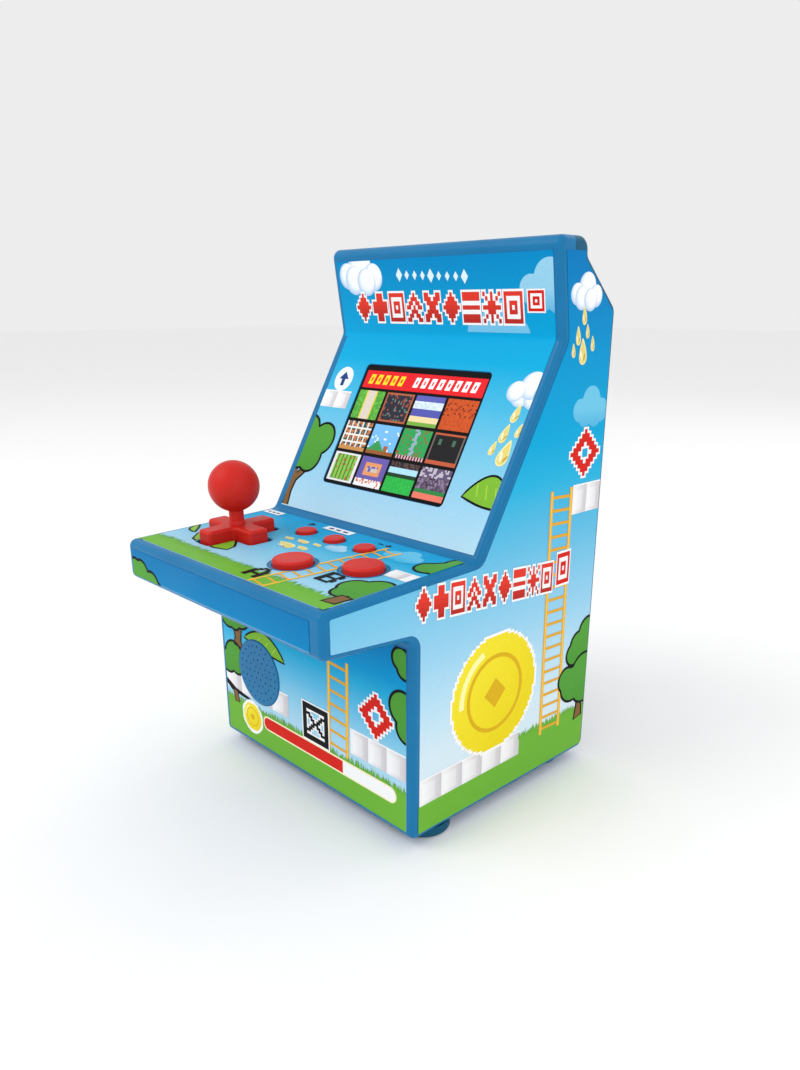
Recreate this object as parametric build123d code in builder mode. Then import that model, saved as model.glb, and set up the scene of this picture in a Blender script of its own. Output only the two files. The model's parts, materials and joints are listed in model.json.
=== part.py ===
"""Mini bartop arcade cabinet: a battery toy cabinet with a joystick, five buttons and a small screen.

Units are millimetres. +Z is up, the player stands at -Y, and the origin is on the
tabletop under the middle of the cabinet.
"""
import os
from math import atan2, cos, radians, sin

from build123d import *

# ---------------------------------------------------------------- driving dimensions
WIDTH = 101.2            # across the two side panels
DEPTH = 119.6            # deck front to back wall
HEIGHT = 175.6           # tabletop to the top of the marquee
WALL = 2.0               # moulded wall thickness
EDGE_RADIUS = 1.8        # rounding where the sides meet the front, top and back
LABEL = 0.15             # thickness of the printed labels
LABEL_INSET = 1.8        # border left between a side label and the cabinet's edge
TOP_RIM = 4.0            # the border is wider along the flat top
FOOT_HEIGHT = 3.5        # the case stands this far above the tabletop

Y_FRONT = -DEPTH / 2
Y_BACK = DEPTH / 2
HALF_WIDTH = WIDTH / 2
ART_HALF = 48.0          # half the width of the front labels
BEZEL_ART_LEFT = -46.4   # left edge of the artwork beside the screen

# side profile, as the places where the cabinet's faces meet
DECK_FRONT_Z = 84.4      # deck height at the player's edge
DECK_DEPTH = 58.2        # from the player's edge to the foot of the screen bezel
DECK_SLOPE = 1.67        # degrees, the deck rises away from the player
DECK_BACK_Z = DECK_FRONT_Z + 1.63
DECK_BACK_Y = Y_FRONT + DECK_DEPTH
ARM_FRONT_Z = 71.4       # underside of the deck at the player's edge
ARM_BACK_Z = 68.7        # underside of the deck where it meets the lower front panel
LOWER_FRONT_Y = Y_FRONT + 32.0
FOLD_Y = 33.3            # where the bezel meets the overhanging marquee
FOLD_Z = 147.0
MARQUEE_TOP_Y = 28.8
TOP_BACK_Y = 43.5        # rear end of the flat top
HOOD_Z = 170.3           # the rear hood's rounded rail ends here
SHOULDER_Z = 155.8       # where the sloping rear hood meets the back wall

SOFT_CORNER = 2.4
FOLD_RADIUS = 3.0
HOOD_RADIUS = 4.0

OUTLINE = [
    (Y_FRONT, DECK_FRONT_Z, SOFT_CORNER),
    (DECK_BACK_Y, DECK_BACK_Z, FOLD_RADIUS),
    (FOLD_Y, FOLD_Z, FOLD_RADIUS),
    (MARQUEE_TOP_Y, HEIGHT, FOLD_RADIUS),
    (TOP_BACK_Y, HEIGHT, HOOD_RADIUS),
    (TOP_BACK_Y + 0.2, HOOD_Z, SOFT_CORNER),
    (Y_BACK, SHOULDER_Z, HOOD_RADIUS),
    (Y_BACK, FOOT_HEIGHT, FOLD_RADIUS),
    (LOWER_FRONT_Y, FOOT_HEIGHT, SOFT_CORNER),
    (LOWER_FRONT_Y, ARM_BACK_Z, FOLD_RADIUS),
    (Y_FRONT, ARM_FRONT_Z, SOFT_CORNER),
]

# working planes: local x runs across the cabinet, local y runs away from the player
DECK_PLANE = Plane(
    origin=(0, Y_FRONT, DECK_FRONT_Z),
    x_dir=(1, 0, 0),
    z_dir=(0, -sin(radians(DECK_SLOPE)), cos(radians(DECK_SLOPE))),
)
BEZEL_RISE = FOLD_Z - DECK_BACK_Z
BEZEL_RUN = FOLD_Y - DECK_BACK_Y
BEZEL_LEAN = atan2(BEZEL_RUN, BEZEL_RISE)      # radians from upright
BEZEL_LENGTH = (BEZEL_RISE**2 + BEZEL_RUN**2) ** 0.5
BEZEL_PLANE = Plane(
    origin=(0, DECK_BACK_Y, DECK_BACK_Z),
    x_dir=(1, 0, 0),
    z_dir=(0, -cos(BEZEL_LEAN), sin(BEZEL_LEAN)),
)

# screen
WINDOW_WIDTH = 58.0
WINDOW_HEIGHT = 44.8
WINDOW_CENTRE = BEZEL_LENGTH - 34.2            # up the bezel from the deck
WINDOW_CORNER = 1.5
LENS_THICKNESS = 1.2
LENS_TOP = -0.1          # the lens lies just below the bezel's face
LENS_CHAMFER = 0.2
LENS_GAP = 0.1           # all round the lens in its recess
PICTURE_GAP = 0.3        # between the frame's opening and the foam
LCD_RIM = 1.6            # wall of the rim round the display
LCD_RIM_DEPTH = 3.4
PICTURE_WIDTH = 56.9
PICTURE_HEIGHT = 42.7
LCD_WIDTH = 69.2
LCD_HEIGHT = 50.0
LCD_THICKNESS = 2.6
GASKET_THICKNESS = 0.8
GASKET_BORDER = 3.0
FLEX_WIDTH = 20.0

# controls, as places on the deck plane
BUTTON_A = (11.3, 21.1)
BUTTON_B = (31.2, 31.2)
BIG_RADIUS = 6.15
BIG_PROUD = 2.0
SMALL_ROW_Y = 44.4
SMALL_PITCH = 14.5
SMALL_FIRST_X = -12.5
SMALL_RADIUS = 3.4
SMALL_PROUD = 1.3
BUTTON_GAP = 0.25        # all round a button in its hole
COLLAR_WIDTH = 1.2
COLLAR_PROUD = 0.35
STICK_AT = (-26.9, 27.3)
BALL_RADIUS = 8.25
BALL_HEIGHT = 16.5       # ball centre above the deck
STEM_RADIUS = 2.4
CROSS_ARM = 12.7         # joystick axis to the end of a cross arm
CROSS_WIDTH = 7.0
CROSS_TOP = 4.1          # above the deck
CROSS_GAP = 0.9          # between the cross and its opening
CROSS_CORNER = 1.2
OPENING_CORNER = 1.6
CROSS_FOOT = -3.9        # underside of the arms, below the deck
FLANGE_WIDTH = 9.8
CROSS_FLANGE = 14.2      # arm length of the flange that closes the opening from below
PIVOT_DEPTH = 6.7        # gimbal centre below the deck
BOARD_DEPTH = 9.0        # top of the control board below the deck
BOARD_THICKNESS = 1.0

# speaker
SPEAKER_X = -26.6
SPEAKER_Z = 34.5
GRILLE_RADIUS = 12.0
SPEAKER_RADIUS = 14.0

# battery bay
CELL_RADIUS = 7.1
CELL_LENGTH = 49.6
CELL_PITCH = 15.2
CELL_COUNT = 3
BAY_CENTRE_Z = 36.0
BAY_WIDTH = 58.0
BAY_HEIGHT = CELL_PITCH * CELL_COUNT + 1.6
BAY_DEPTH = 16.4
TRAY_WALL = 1.4
DOOR_WIDTH = 66.0
DOOR_HEIGHT = 54.0

# fasteners
SCREW_RADIUS = 1.3
SCREW_HEAD = 2.6
POST_RADIUS = 3.4

FIT = 0.4                # play left round a part in its seat
PILOT_RADIUS = 0.8       # holes that the small board screws cut into

os.makedirs("parts", exist_ok=True)


def save(piece, name):
    """Label a finished part and write it as its own STEP file."""
    piece.part.label = name
    export_step(piece.part, f"parts/{name}.step")


def outline_face(grow=0.0):
    """The cabinet's side profile, grown outward by so much."""
    with BuildSketch() as profile:
        with BuildLine():
            Polyline(*[(y, z) for y, z, _ in OUTLINE], close=True)
        make_face()
        for y, z, radius in OUTLINE:
            fillet(profile.vertices().sort_by_distance((y, z, 0))[0], radius)
        if grow:
            offset(amount=grow, kind=Kind.ARC)
    return profile.sketch


def side_face(extra=0.0):
    """The face of a side panel, set in from the cabinet's edge all round."""
    with BuildSketch() as panel:
        add(outline_face(-LABEL_INSET - extra))
        with Locations((LABEL_INSET / 2, 0)):
            add(outline_face(-LABEL_INSET - extra), mode=Mode.INTERSECT)
        with Locations((0, HEIGHT / 2 - TOP_RIM - extra)):
            Rectangle(2 * DEPTH, HEIGHT, mode=Mode.INTERSECT)
    return panel.sketch


def round_face(radius, *places):
    """Equal circles at the given places."""
    with BuildSketch() as circles:
        with Locations(*places):
            Circle(radius)
    return circles.sketch


def rectangle_face(width, height, *places, corner=0.0):
    """Equal rectangles at the given places, with rounded corners where asked."""
    with BuildSketch() as rectangles:
        with Locations(*places):
            if corner:
                RectangleRounded(width, height, corner)
            else:
                Rectangle(width, height)
    return rectangles.sketch


def cross_face(arm, width, corner):
    """A plus-shaped face centred on the joystick."""
    with BuildSketch() as cross:
        with Locations(STICK_AT):
            Rectangle(2 * arm, width)
            Rectangle(width, 2 * arm)
        fillet(cross.vertices(), corner)
    return cross.sketch


def slab(plane, low, high, face):
    """A solid between two heights over a plane, with the face as its section."""
    with BuildPart() as solid:
        with BuildSketch(plane.offset(low)):
            add(face)
        extrude(amount=high - low)
    return solid.part


def far_face(piece, plane):
    """The face of a piece that lies furthest out along the plane's normal."""
    return piece.faces().sort_by(Axis(plane.origin, plane.z_dir))[-1]


def block(low, high):
    """A box between two corners."""
    size = [b - a for a, b in zip(low, high)]
    centre = tuple((a + b) / 2 for a, b in zip(low, high))
    with BuildPart() as solid:
        with Locations(centre):
            Box(*size)
    return solid.part


def turned(origin, profile):
    """A solid of revolution about an axis along +Y; the profile is (radius, depth) points."""
    with BuildPart() as solid:
        with BuildSketch(Plane(origin=origin, x_dir=(1, 0, 0), z_dir=(0, 0, 1))):
            with BuildLine():
                Polyline(*profile, close=True)
            make_face()
        revolve(axis=Axis(origin, (0, 1, 0)))
    return solid.part


def wire(radius, *points):
    """A round wire through the given points."""
    with BuildPart() as strand:
        with BuildLine() as route:
            Spline(*points)
        with BuildSketch(Plane(origin=route.line @ 0, z_dir=route.line % 0)):
            Circle(radius)
        sweep(path=route.line)
    return strand.part


def coil(radius, wire_radius, pitch, height, start, direction):
    """A helical spring of round wire."""
    with BuildPart() as spring:
        with BuildLine() as route:
            Helix(pitch=pitch, height=height, radius=radius, center=start, direction=direction)
        with BuildSketch(Plane(origin=route.line @ 0, z_dir=route.line % 0)):
            Circle(wire_radius)
        sweep(path=route.line, is_frenet=True)
    return spring.part


# ---------------------------------------------------------------- case: one envelope, cut into covers
BASE_SPLIT_Z = FOOT_HEIGHT + 2.4
REAR_SPLIT_Y = 36.5

with BuildPart() as envelope:
    with BuildSketch(Plane.YZ.offset(-HALF_WIDTH)):
        add(outline_face())
    extrude(amount=WIDTH)
    fillet(envelope.faces().filter_by(Axis.X).edges(), EDGE_RADIUS)

with BuildPart() as belt:
    add(envelope)
    with BuildSketch(Plane.YZ.offset(-HALF_WIDTH + WALL)):
        add(outline_face(-WALL))
    extrude(amount=WIDTH - 2 * WALL, mode=Mode.SUBTRACT)
    for side in (-1, 1):
        with BuildSketch(Plane.YZ.offset(side * HALF_WIDTH)):
            add(side_face())
        extrude(amount=-side * WALL, mode=Mode.SUBTRACT)

SIDES = {"left": -1, "right": 1}
for side_name, side in SIDES.items():
    with BuildPart() as side_panel:
        with BuildSketch(Plane.YZ.offset(side * HALF_WIDTH)):
            add(side_face())
        extrude(amount=-side * WALL)
    save(side_panel, f"{side_name}_side_panel")

    with BuildPart() as side_label:
        with BuildSketch(Plane.YZ.offset(side * HALF_WIDTH)):
            add(side_face(0.1))
        extrude(amount=side * LABEL)
    save(side_label, f"{side_name}_side_label")

# ---------------------------------------------------------------- where the screws and controls are
POST_X = 42.0
POST_HOLE = 1.1
HEAD_WELL = 2.9
LOWER_POSTS = [(-POST_X, 15.0), (POST_X, 15.0), (-POST_X, 60.0), (POST_X, 60.0)]
UPPER_POSTS = [(-POST_X, 161.0), (POST_X, 161.0)]
LOWER_POST_HOLE = 12.0   # depth of the screw holes in the front cover's posts
UPPER_POST_LENGTH = 10.0
UPPER_POST_HOLE = 6.0
LOWER_JOINT_Y = 20.0
UPPER_JOINT_Y = 42.0
SCREW_DEPTH = 10.0       # from a screw's shoulder back towards the wall
BASE_POST_X = 37.0
BASE_POST_Y = (LOWER_FRONT_Y + WALL + 3.2, Y_BACK - WALL - 3.2)
BASE_POSTS = [(x, y) for x in (-BASE_POST_X, BASE_POST_X) for y in BASE_POST_Y]
BASE_BOSS_TOP = 7.5
BASE_POST_TOP = 20.0
FRONT_PLANE = Plane(origin=(0, LOWER_FRONT_Y, 0), x_dir=(1, 0, 0), z_dir=(0, -1, 0))
BACK_PLANE = Plane(origin=(0, Y_BACK, 0), x_dir=(1, 0, 0), z_dir=(0, -1, 0))
JOINT_PLANE = Plane(origin=(0, LOWER_JOINT_Y, 0), x_dir=(1, 0, 0), z_dir=(0, -1, 0))
HOOD_PLANE = Plane(origin=(0, UPPER_JOINT_Y, 0), x_dir=(1, 0, 0), z_dir=(0, -1, 0))

SMALL_BUTTONS = [(SMALL_FIRST_X + i * SMALL_PITCH, SMALL_ROW_Y) for i in range(3)]
BUTTONS = {
    "button_a": (BUTTON_A, BIG_RADIUS, BIG_PROUD),
    "button_b": (BUTTON_B, BIG_RADIUS, BIG_PROUD),
    "start_button": (SMALL_BUTTONS[0], SMALL_RADIUS, SMALL_PROUD),
    "volume_down_button": (SMALL_BUTTONS[1], SMALL_RADIUS, SMALL_PROUD),
    "volume_up_button": (SMALL_BUTTONS[2], SMALL_RADIUS, SMALL_PROUD),
}
BOARD_BOSSES = [(x, y) for x in (-43.0, 43.0) for y in (9.0, 50.0)]
MAIN_BOARD_WIDTH = 88.0
MAIN_BOARD_HEIGHT = 50.0
MAIN_BOARD_DEPTH = 8.4   # front of the main board behind the bezel's face
MAIN_BOARD_THICKNESS = 1.6
MAIN_BOSS_RADIUS = 2.6
BOARD_BOSS_RADIUS = 2.4
BASE_BOSS_RADIUS = 3.6
BOARD_HOLE = 1.1
MAIN_BOSSES = [(x, WINDOW_CENTRE + y) for x in (-40.5, 40.5) for y in (-20.0, 20.0)]
WINDOW_AT = (0, WINDOW_CENTRE)

# ---------------------------------------------------------------- front cover
with BuildPart() as front_cover:
    add(belt)
    split(bisect_by=Plane.XY.offset(BASE_SPLIT_Z), keep=Keep.TOP)
    split(bisect_by=Plane.XZ.offset(-REAR_SPLIT_Y), keep=Keep.TOP)
    # screen: a recess for the lens, then the opening, with a rim round the display behind
    add(slab(BEZEL_PLANE, LENS_TOP - LENS_THICKNESS, 1,
             rectangle_face(WINDOW_WIDTH + 2 * LENS_GAP, WINDOW_HEIGHT + 2 * LENS_GAP,
                            WINDOW_AT, corner=WINDOW_CORNER)),
        mode=Mode.SUBTRACT)
    add(slab(BEZEL_PLANE, -4, 0, rectangle_face(PICTURE_WIDTH, PICTURE_HEIGHT, WINDOW_AT)),
        mode=Mode.SUBTRACT)
    with BuildSketch(BEZEL_PLANE.offset(-WALL)):
        with Locations(WINDOW_AT):
            Rectangle(LCD_WIDTH + 2 * LCD_RIM, LCD_HEIGHT + 2 * LCD_RIM)
            Rectangle(LCD_WIDTH + FIT, LCD_HEIGHT + FIT, mode=Mode.SUBTRACT)
            with Locations((0, -LCD_HEIGHT / 2)):
                Rectangle(FLEX_WIDTH + 4, 6, mode=Mode.SUBTRACT)
    extrude(amount=-LCD_RIM_DEPTH)
    add(slab(BEZEL_PLANE, -MAIN_BOARD_DEPTH, -WALL + 0.2, round_face(MAIN_BOSS_RADIUS, *MAIN_BOSSES)))
    add(slab(BEZEL_PLANE, -MAIN_BOARD_DEPTH - 1, -WALL - 1, round_face(PILOT_RADIUS, *MAIN_BOSSES)),
        mode=Mode.SUBTRACT)
    # deck: raised collars, then the holes that the controls come through
    for place, radius, _ in BUTTONS.values():
        if radius == BIG_RADIUS:
            add(slab(DECK_PLANE, -WALL, COLLAR_PROUD,
                     round_face(radius + BUTTON_GAP + COLLAR_WIDTH, place)))
    for place, radius, _ in BUTTONS.values():
        add(slab(DECK_PLANE, -WALL - 1, 2, round_face(radius + BUTTON_GAP, place)),
            mode=Mode.SUBTRACT)
    add(slab(DECK_PLANE, -WALL - 1, 2,
             cross_face(CROSS_ARM + CROSS_GAP, CROSS_WIDTH + 2 * CROSS_GAP, OPENING_CORNER)),
        mode=Mode.SUBTRACT)
    add(slab(DECK_PLANE, -BOARD_DEPTH, -WALL + 0.2, round_face(BOARD_BOSS_RADIUS, *BOARD_BOSSES)))
    add(slab(DECK_PLANE, -BOARD_DEPTH - 1, -WALL - 1, round_face(PILOT_RADIUS, *BOARD_BOSSES)),
        mode=Mode.SUBTRACT)
    # lower front: speaker hole and a locating rim
    add(slab(FRONT_PLANE, -WALL - 2.4, -WALL + 0.2,
             round_face(SPEAKER_RADIUS + 1.8, (SPEAKER_X, SPEAKER_Z))))
    add(slab(FRONT_PLANE, -WALL - 3, -WALL,
             round_face(SPEAKER_RADIUS + 0.2, (SPEAKER_X, SPEAKER_Z))),
        mode=Mode.SUBTRACT)
    add(slab(FRONT_PLANE, -WALL - 1, 1,
             round_face(GRILLE_RADIUS + 0.05, (SPEAKER_X, SPEAKER_Z))),
        mode=Mode.SUBTRACT)
    # screw posts that reach back to the rear cover and down to the base
    add(slab(JOINT_PLANE, 0, LOWER_JOINT_Y - LOWER_FRONT_Y - WALL + 0.2,
             round_face(POST_RADIUS, *LOWER_POSTS)))
    add(slab(JOINT_PLANE, -1, LOWER_POST_HOLE, round_face(POST_HOLE, *LOWER_POSTS)),
        mode=Mode.SUBTRACT)
    add(slab(HOOD_PLANE, 0, UPPER_POST_LENGTH, round_face(POST_RADIUS, *UPPER_POSTS)))
    add(slab(HOOD_PLANE, -1, UPPER_POST_HOLE, round_face(POST_HOLE, *UPPER_POSTS)),
        mode=Mode.SUBTRACT)
    add(slab(Plane.XY, BASE_BOSS_TOP, BASE_POST_TOP, round_face(BASE_BOSS_RADIUS, *BASE_POSTS[::2])))
    add(slab(Plane.XY, 0, BASE_POST_TOP - 2, round_face(POST_HOLE, *BASE_POSTS[::2])),
        mode=Mode.SUBTRACT)
    add(envelope, mode=Mode.INTERSECT)
save(front_cover, "front_cover")

# ---------------------------------------------------------------- rear cover
DOOR_SCREW_Z = BAY_CENTRE_Z + DOOR_HEIGHT / 2 + 3.6
DOOR_TAB = 14.0
DOOR_CORNER = 1.5
DOOR_GAP = 0.3
SWITCH_Z = 104.0
SWITCH_TRAVEL = 3.0
SWITCH_SLOT = 8.0
SWITCH_POCKET = 1.0
SWITCH_KNOB = 3.6
SWITCH_DEPTH = 6.0


def door_face(margin=0.0):
    """The battery door seen from behind, with the tab that its screw goes through."""
    with BuildSketch() as door:
        with Locations((0, BAY_CENTRE_Z)):
            Rectangle(DOOR_WIDTH + margin, DOOR_HEIGHT + margin)
        with Locations((0, DOOR_SCREW_Z - 1)):
            Rectangle(DOOR_TAB + margin, 10 + margin)
        fillet(door.vertices(), DOOR_CORNER)
    return door.sketch


with BuildPart() as rear_cover:
    add(belt)
    split(bisect_by=Plane.XY.offset(BASE_SPLIT_Z), keep=Keep.TOP)
    split(bisect_by=Plane.XZ.offset(-REAR_SPLIT_Y), keep=Keep.BOTTOM)
    # thicker round the battery door, which drops in flush
    add(slab(BACK_PLANE, WALL - 0.2, 2 * WALL,
             rectangle_face(DOOR_WIDTH + 6, DOOR_HEIGHT + 1.6, (0, BAY_CENTRE_Z))))
    add(slab(BACK_PLANE, WALL - 0.2, 4 * WALL, round_face(4.2, (0, DOOR_SCREW_Z))))
    add(slab(BACK_PLANE, -1, WALL, door_face(DOOR_GAP)), mode=Mode.SUBTRACT)
    add(slab(BACK_PLANE, -1, 3 * WALL,
             rectangle_face(BAY_WIDTH, BAY_HEIGHT, (0, BAY_CENTRE_Z))),
        mode=Mode.SUBTRACT)
    add(slab(BACK_PLANE, 0, 4 * WALL, round_face(POST_HOLE, (0, DOOR_SCREW_Z))),
        mode=Mode.SUBTRACT)
    # power switch pocket and slot
    add(slab(BACK_PLANE, -1, SWITCH_POCKET,
             rectangle_face(18, 9, (0, SWITCH_Z), corner=2)),
        mode=Mode.SUBTRACT)
    add(slab(BACK_PLANE, -1, WALL + 1,
             rectangle_face(SWITCH_SLOT, SWITCH_KNOB + 0.4, (0, SWITCH_Z))),
        mode=Mode.SUBTRACT)
    # posts for the long screws, with wells that the driver reaches through
    add(slab(JOINT_PLANE, LOWER_JOINT_Y - Y_BACK + WALL - 0.2, 0,
             round_face(POST_RADIUS + 0.4, *LOWER_POSTS)))
    add(slab(JOINT_PLANE, LOWER_JOINT_Y - Y_BACK - 1, -SCREW_DEPTH,
             round_face(HEAD_WELL, *LOWER_POSTS)), mode=Mode.SUBTRACT)
    add(slab(JOINT_PLANE, -SCREW_DEPTH - 1, 1, round_face(SCREW_RADIUS + 0.2, *LOWER_POSTS)),
        mode=Mode.SUBTRACT)
    add(slab(HOOD_PLANE, -16, 0, round_face(POST_RADIUS + 0.4, *UPPER_POSTS)))
    add(slab(HOOD_PLANE, -20, -4, round_face(HEAD_WELL, *UPPER_POSTS)), mode=Mode.SUBTRACT)
    add(slab(HOOD_PLANE, -5, 1, round_face(SCREW_RADIUS + 0.2, *UPPER_POSTS)),
        mode=Mode.SUBTRACT)
    add(slab(Plane.XY, BASE_BOSS_TOP, BASE_POST_TOP, round_face(BASE_BOSS_RADIUS, *BASE_POSTS[1::2])))
    add(slab(Plane.XY, 0, BASE_POST_TOP - 2, round_face(POST_HOLE, *BASE_POSTS[1::2])),
        mode=Mode.SUBTRACT)
    add(envelope, mode=Mode.INTERSECT)
save(rear_cover, "rear_cover")

# ---------------------------------------------------------------- base plate and feet
FOOT_RADIUS = 8.7
FOOT_ROUNDING = 1.0
FRONT_FOOT = (41.6, LOWER_FRONT_Y + 13.5)
REAR_FOOT = (38.3, Y_BACK - 13.4)
FEET = [(side * x, y) for side in (-1, 1) for x, y in (FRONT_FOOT, REAR_FOOT)]

with BuildPart() as base_plate:
    add(belt)
    split(bisect_by=Plane.XY.offset(BASE_SPLIT_Z), keep=Keep.BOTTOM)
    add(slab(Plane.XY, FOOT_HEIGHT + WALL - 0.2, BASE_BOSS_TOP,
             round_face(BASE_BOSS_RADIUS + 0.8, *BASE_POSTS)))
    add(slab(Plane.XY, FOOT_HEIGHT - 1, FOOT_HEIGHT + WALL, round_face(HEAD_WELL, *BASE_POSTS)),
        mode=Mode.SUBTRACT)
    add(slab(Plane.XY, FOOT_HEIGHT, BASE_BOSS_TOP + 1,
             round_face(SCREW_RADIUS + 0.2, *BASE_POSTS)), mode=Mode.SUBTRACT)
    # flats on the bosses where the covers' walls stand on the plate
    add(block((-HALF_WIDTH, LOWER_FRONT_Y, BASE_SPLIT_Z),
              (HALF_WIDTH, LOWER_FRONT_Y + WALL + 0.4, BASE_BOSS_TOP)), mode=Mode.SUBTRACT)
    add(block((-HALF_WIDTH, Y_BACK - WALL - 0.4, BASE_SPLIT_Z),
              (HALF_WIDTH, Y_BACK, BASE_BOSS_TOP)), mode=Mode.SUBTRACT)
    add(envelope, mode=Mode.INTERSECT)
save(base_plate, "base_plate")

with BuildPart() as feet:
    add(slab(Plane.XY, 0, FOOT_HEIGHT, round_face(FOOT_RADIUS, *FEET)))
    fillet(feet.faces().filter_by(Axis.Z).group_by(Axis.Z)[0].edges(), FOOT_ROUNDING)
    # each foot has a bite out of it beside a base screw
    add(slab(Plane.XY, -1, FOOT_HEIGHT + 1, round_face(HEAD_WELL + 0.4, *BASE_POSTS)),
        mode=Mode.SUBTRACT)
save(feet, "feet")

# ---------------------------------------------------------------- printed labels on the front
UPPER_LABEL_TOP = HEIGHT - 4.2
UPPER_LABEL_FOOT = DECK_BACK_Z + 1.6
DECK_LABEL_FRONT = 2.9
DECK_LABEL_BACK = 55.4

with BuildPart() as label_skin:
    with BuildSketch(Plane.YZ.offset(-ART_HALF)):
        add(outline_face(LABEL))
        add(outline_face(), mode=Mode.SUBTRACT)
    extrude(amount=2 * ART_HALF)

with BuildPart() as upper_label:
    add(label_skin)
    add(block((-ART_HALF, Y_FRONT, UPPER_LABEL_FOOT), (ART_HALF, REAR_SPLIT_Y, UPPER_LABEL_TOP)),
        mode=Mode.INTERSECT)
    add(slab(BEZEL_PLANE, -2, 2, rectangle_face(WINDOW_WIDTH + 0.6, WINDOW_HEIGHT + 0.6,
                                                WINDOW_AT, corner=WINDOW_CORNER + 0.3)),
        mode=Mode.SUBTRACT)
    # a wider strip of the frame shows to the left of the screen
    add(block((-ART_HALF - 1, Y_FRONT, DECK_FRONT_Z), (BEZEL_ART_LEFT, Y_BACK, FOLD_Z - 1.0)),
        mode=Mode.SUBTRACT)
save(upper_label, "upper_label")

with BuildPart() as deck_label:
    add(label_skin)
    add(slab(DECK_PLANE, -2, 2,
             rectangle_face(2 * ART_HALF, DECK_LABEL_BACK - DECK_LABEL_FRONT,
                            (0, (DECK_LABEL_BACK + DECK_LABEL_FRONT) / 2), corner=3)),
        mode=Mode.INTERSECT)
    for place, radius, _ in BUTTONS.values():
        collar = COLLAR_WIDTH if radius == BIG_RADIUS else 0.0
        add(slab(DECK_PLANE, -2, 2, round_face(radius + BUTTON_GAP + collar + 0.15, place)),
            mode=Mode.SUBTRACT)
    add(slab(DECK_PLANE, -2, 2,
             cross_face(CROSS_ARM + CROSS_GAP + FIT, CROSS_WIDTH + 2 * (CROSS_GAP + FIT), 1.8)),
        mode=Mode.SUBTRACT)
save(deck_label, "deck_label")

with BuildPart() as apron_label:
    add(label_skin)
    add(block((-ART_HALF, Y_FRONT - 1, ARM_FRONT_Z + 1.6),
              (ART_HALF - 2.2, Y_FRONT + 0.2, DECK_FRONT_Z - 2.6)), mode=Mode.INTERSECT)
save(apron_label, "apron_label")

with BuildPart() as lower_front_label:
    add(label_skin)
    add(block((-ART_HALF, LOWER_FRONT_Y - 1, FOOT_HEIGHT + 2.5),
              (ART_HALF, LOWER_FRONT_Y + 0.2, ARM_BACK_Z - 3.2)), mode=Mode.INTERSECT)
    add(slab(FRONT_PLANE, -2, 2, round_face(GRILLE_RADIUS + 0.3, (SPEAKER_X, SPEAKER_Z))),
        mode=Mode.SUBTRACT)
save(lower_front_label, "lower_front_label")

# ---------------------------------------------------------------- screen
with BuildPart() as screen_lens:
    add(slab(BEZEL_PLANE, LENS_TOP - LENS_THICKNESS, LENS_TOP,
             rectangle_face(WINDOW_WIDTH, WINDOW_HEIGHT, WINDOW_AT, corner=WINDOW_CORNER)))
    chamfer(far_face(screen_lens, BEZEL_PLANE).edges(), LENS_CHAMFER)
save(screen_lens, "screen_lens")

with BuildPart() as screen_gasket:
    with BuildSketch(BEZEL_PLANE.offset(-WALL)):
        with Locations(WINDOW_AT):
            Rectangle(PICTURE_WIDTH + 2 * GASKET_BORDER, PICTURE_HEIGHT + 2 * GASKET_BORDER - 1)
            Rectangle(PICTURE_WIDTH + 2 * PICTURE_GAP, PICTURE_HEIGHT + 2 * PICTURE_GAP,
                      mode=Mode.SUBTRACT)
    extrude(amount=-GASKET_THICKNESS)
save(screen_gasket, "screen_gasket")

LCD_FRONT = -WALL - GASKET_THICKNESS
LCD_BACK = LCD_FRONT - LCD_THICKNESS
LCD_GLASS = 1.0
with BuildPart() as lcd_glass:
    add(slab(BEZEL_PLANE, LCD_FRONT - LCD_GLASS, LCD_FRONT,
             rectangle_face(LCD_WIDTH - 1, LCD_HEIGHT - 1, WINDOW_AT)))
save(lcd_glass, "lcd_glass")

with BuildPart() as lcd_backlight:
    add(slab(BEZEL_PLANE, LCD_BACK, LCD_FRONT - LCD_GLASS,
             rectangle_face(LCD_WIDTH, LCD_HEIGHT, WINDOW_AT, corner=1)))
save(lcd_backlight, "lcd_backlight")

# side view of the bezel: local x up the slope, local y outward
BEZEL_SIDE = Plane(
    origin=BEZEL_PLANE.from_local_coords((0, WINDOW_CENTRE, 0)),
    x_dir=BEZEL_PLANE.y_dir,
    z_dir=(1, 0, 0),
)
FLEX_THICKNESS = 0.3
FLEX_LOOP = LCD_HEIGHT / 2 + 2.6
with BuildPart() as display_flex:
    with BuildSketch(BEZEL_SIDE.offset(-FLEX_WIDTH / 2)):
        with BuildLine():
            Polyline(
                (-LCD_HEIGHT / 2, LCD_BACK + 0.9),
                (-FLEX_LOOP, LCD_BACK + 0.9),
                (-FLEX_LOOP, -MAIN_BOARD_DEPTH),
                (-LCD_HEIGHT / 2 + 5, -MAIN_BOARD_DEPTH),
                (-LCD_HEIGHT / 2 + 5, -MAIN_BOARD_DEPTH + FLEX_THICKNESS),
                (-FLEX_LOOP + FLEX_THICKNESS, -MAIN_BOARD_DEPTH + FLEX_THICKNESS),
                (-FLEX_LOOP + FLEX_THICKNESS, LCD_BACK + 0.9 - FLEX_THICKNESS),
                (-LCD_HEIGHT / 2, LCD_BACK + 0.9 - FLEX_THICKNESS),
                close=True,
            )
        make_face()
    extrude(amount=FLEX_WIDTH)
save(display_flex, "display_flex")

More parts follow.
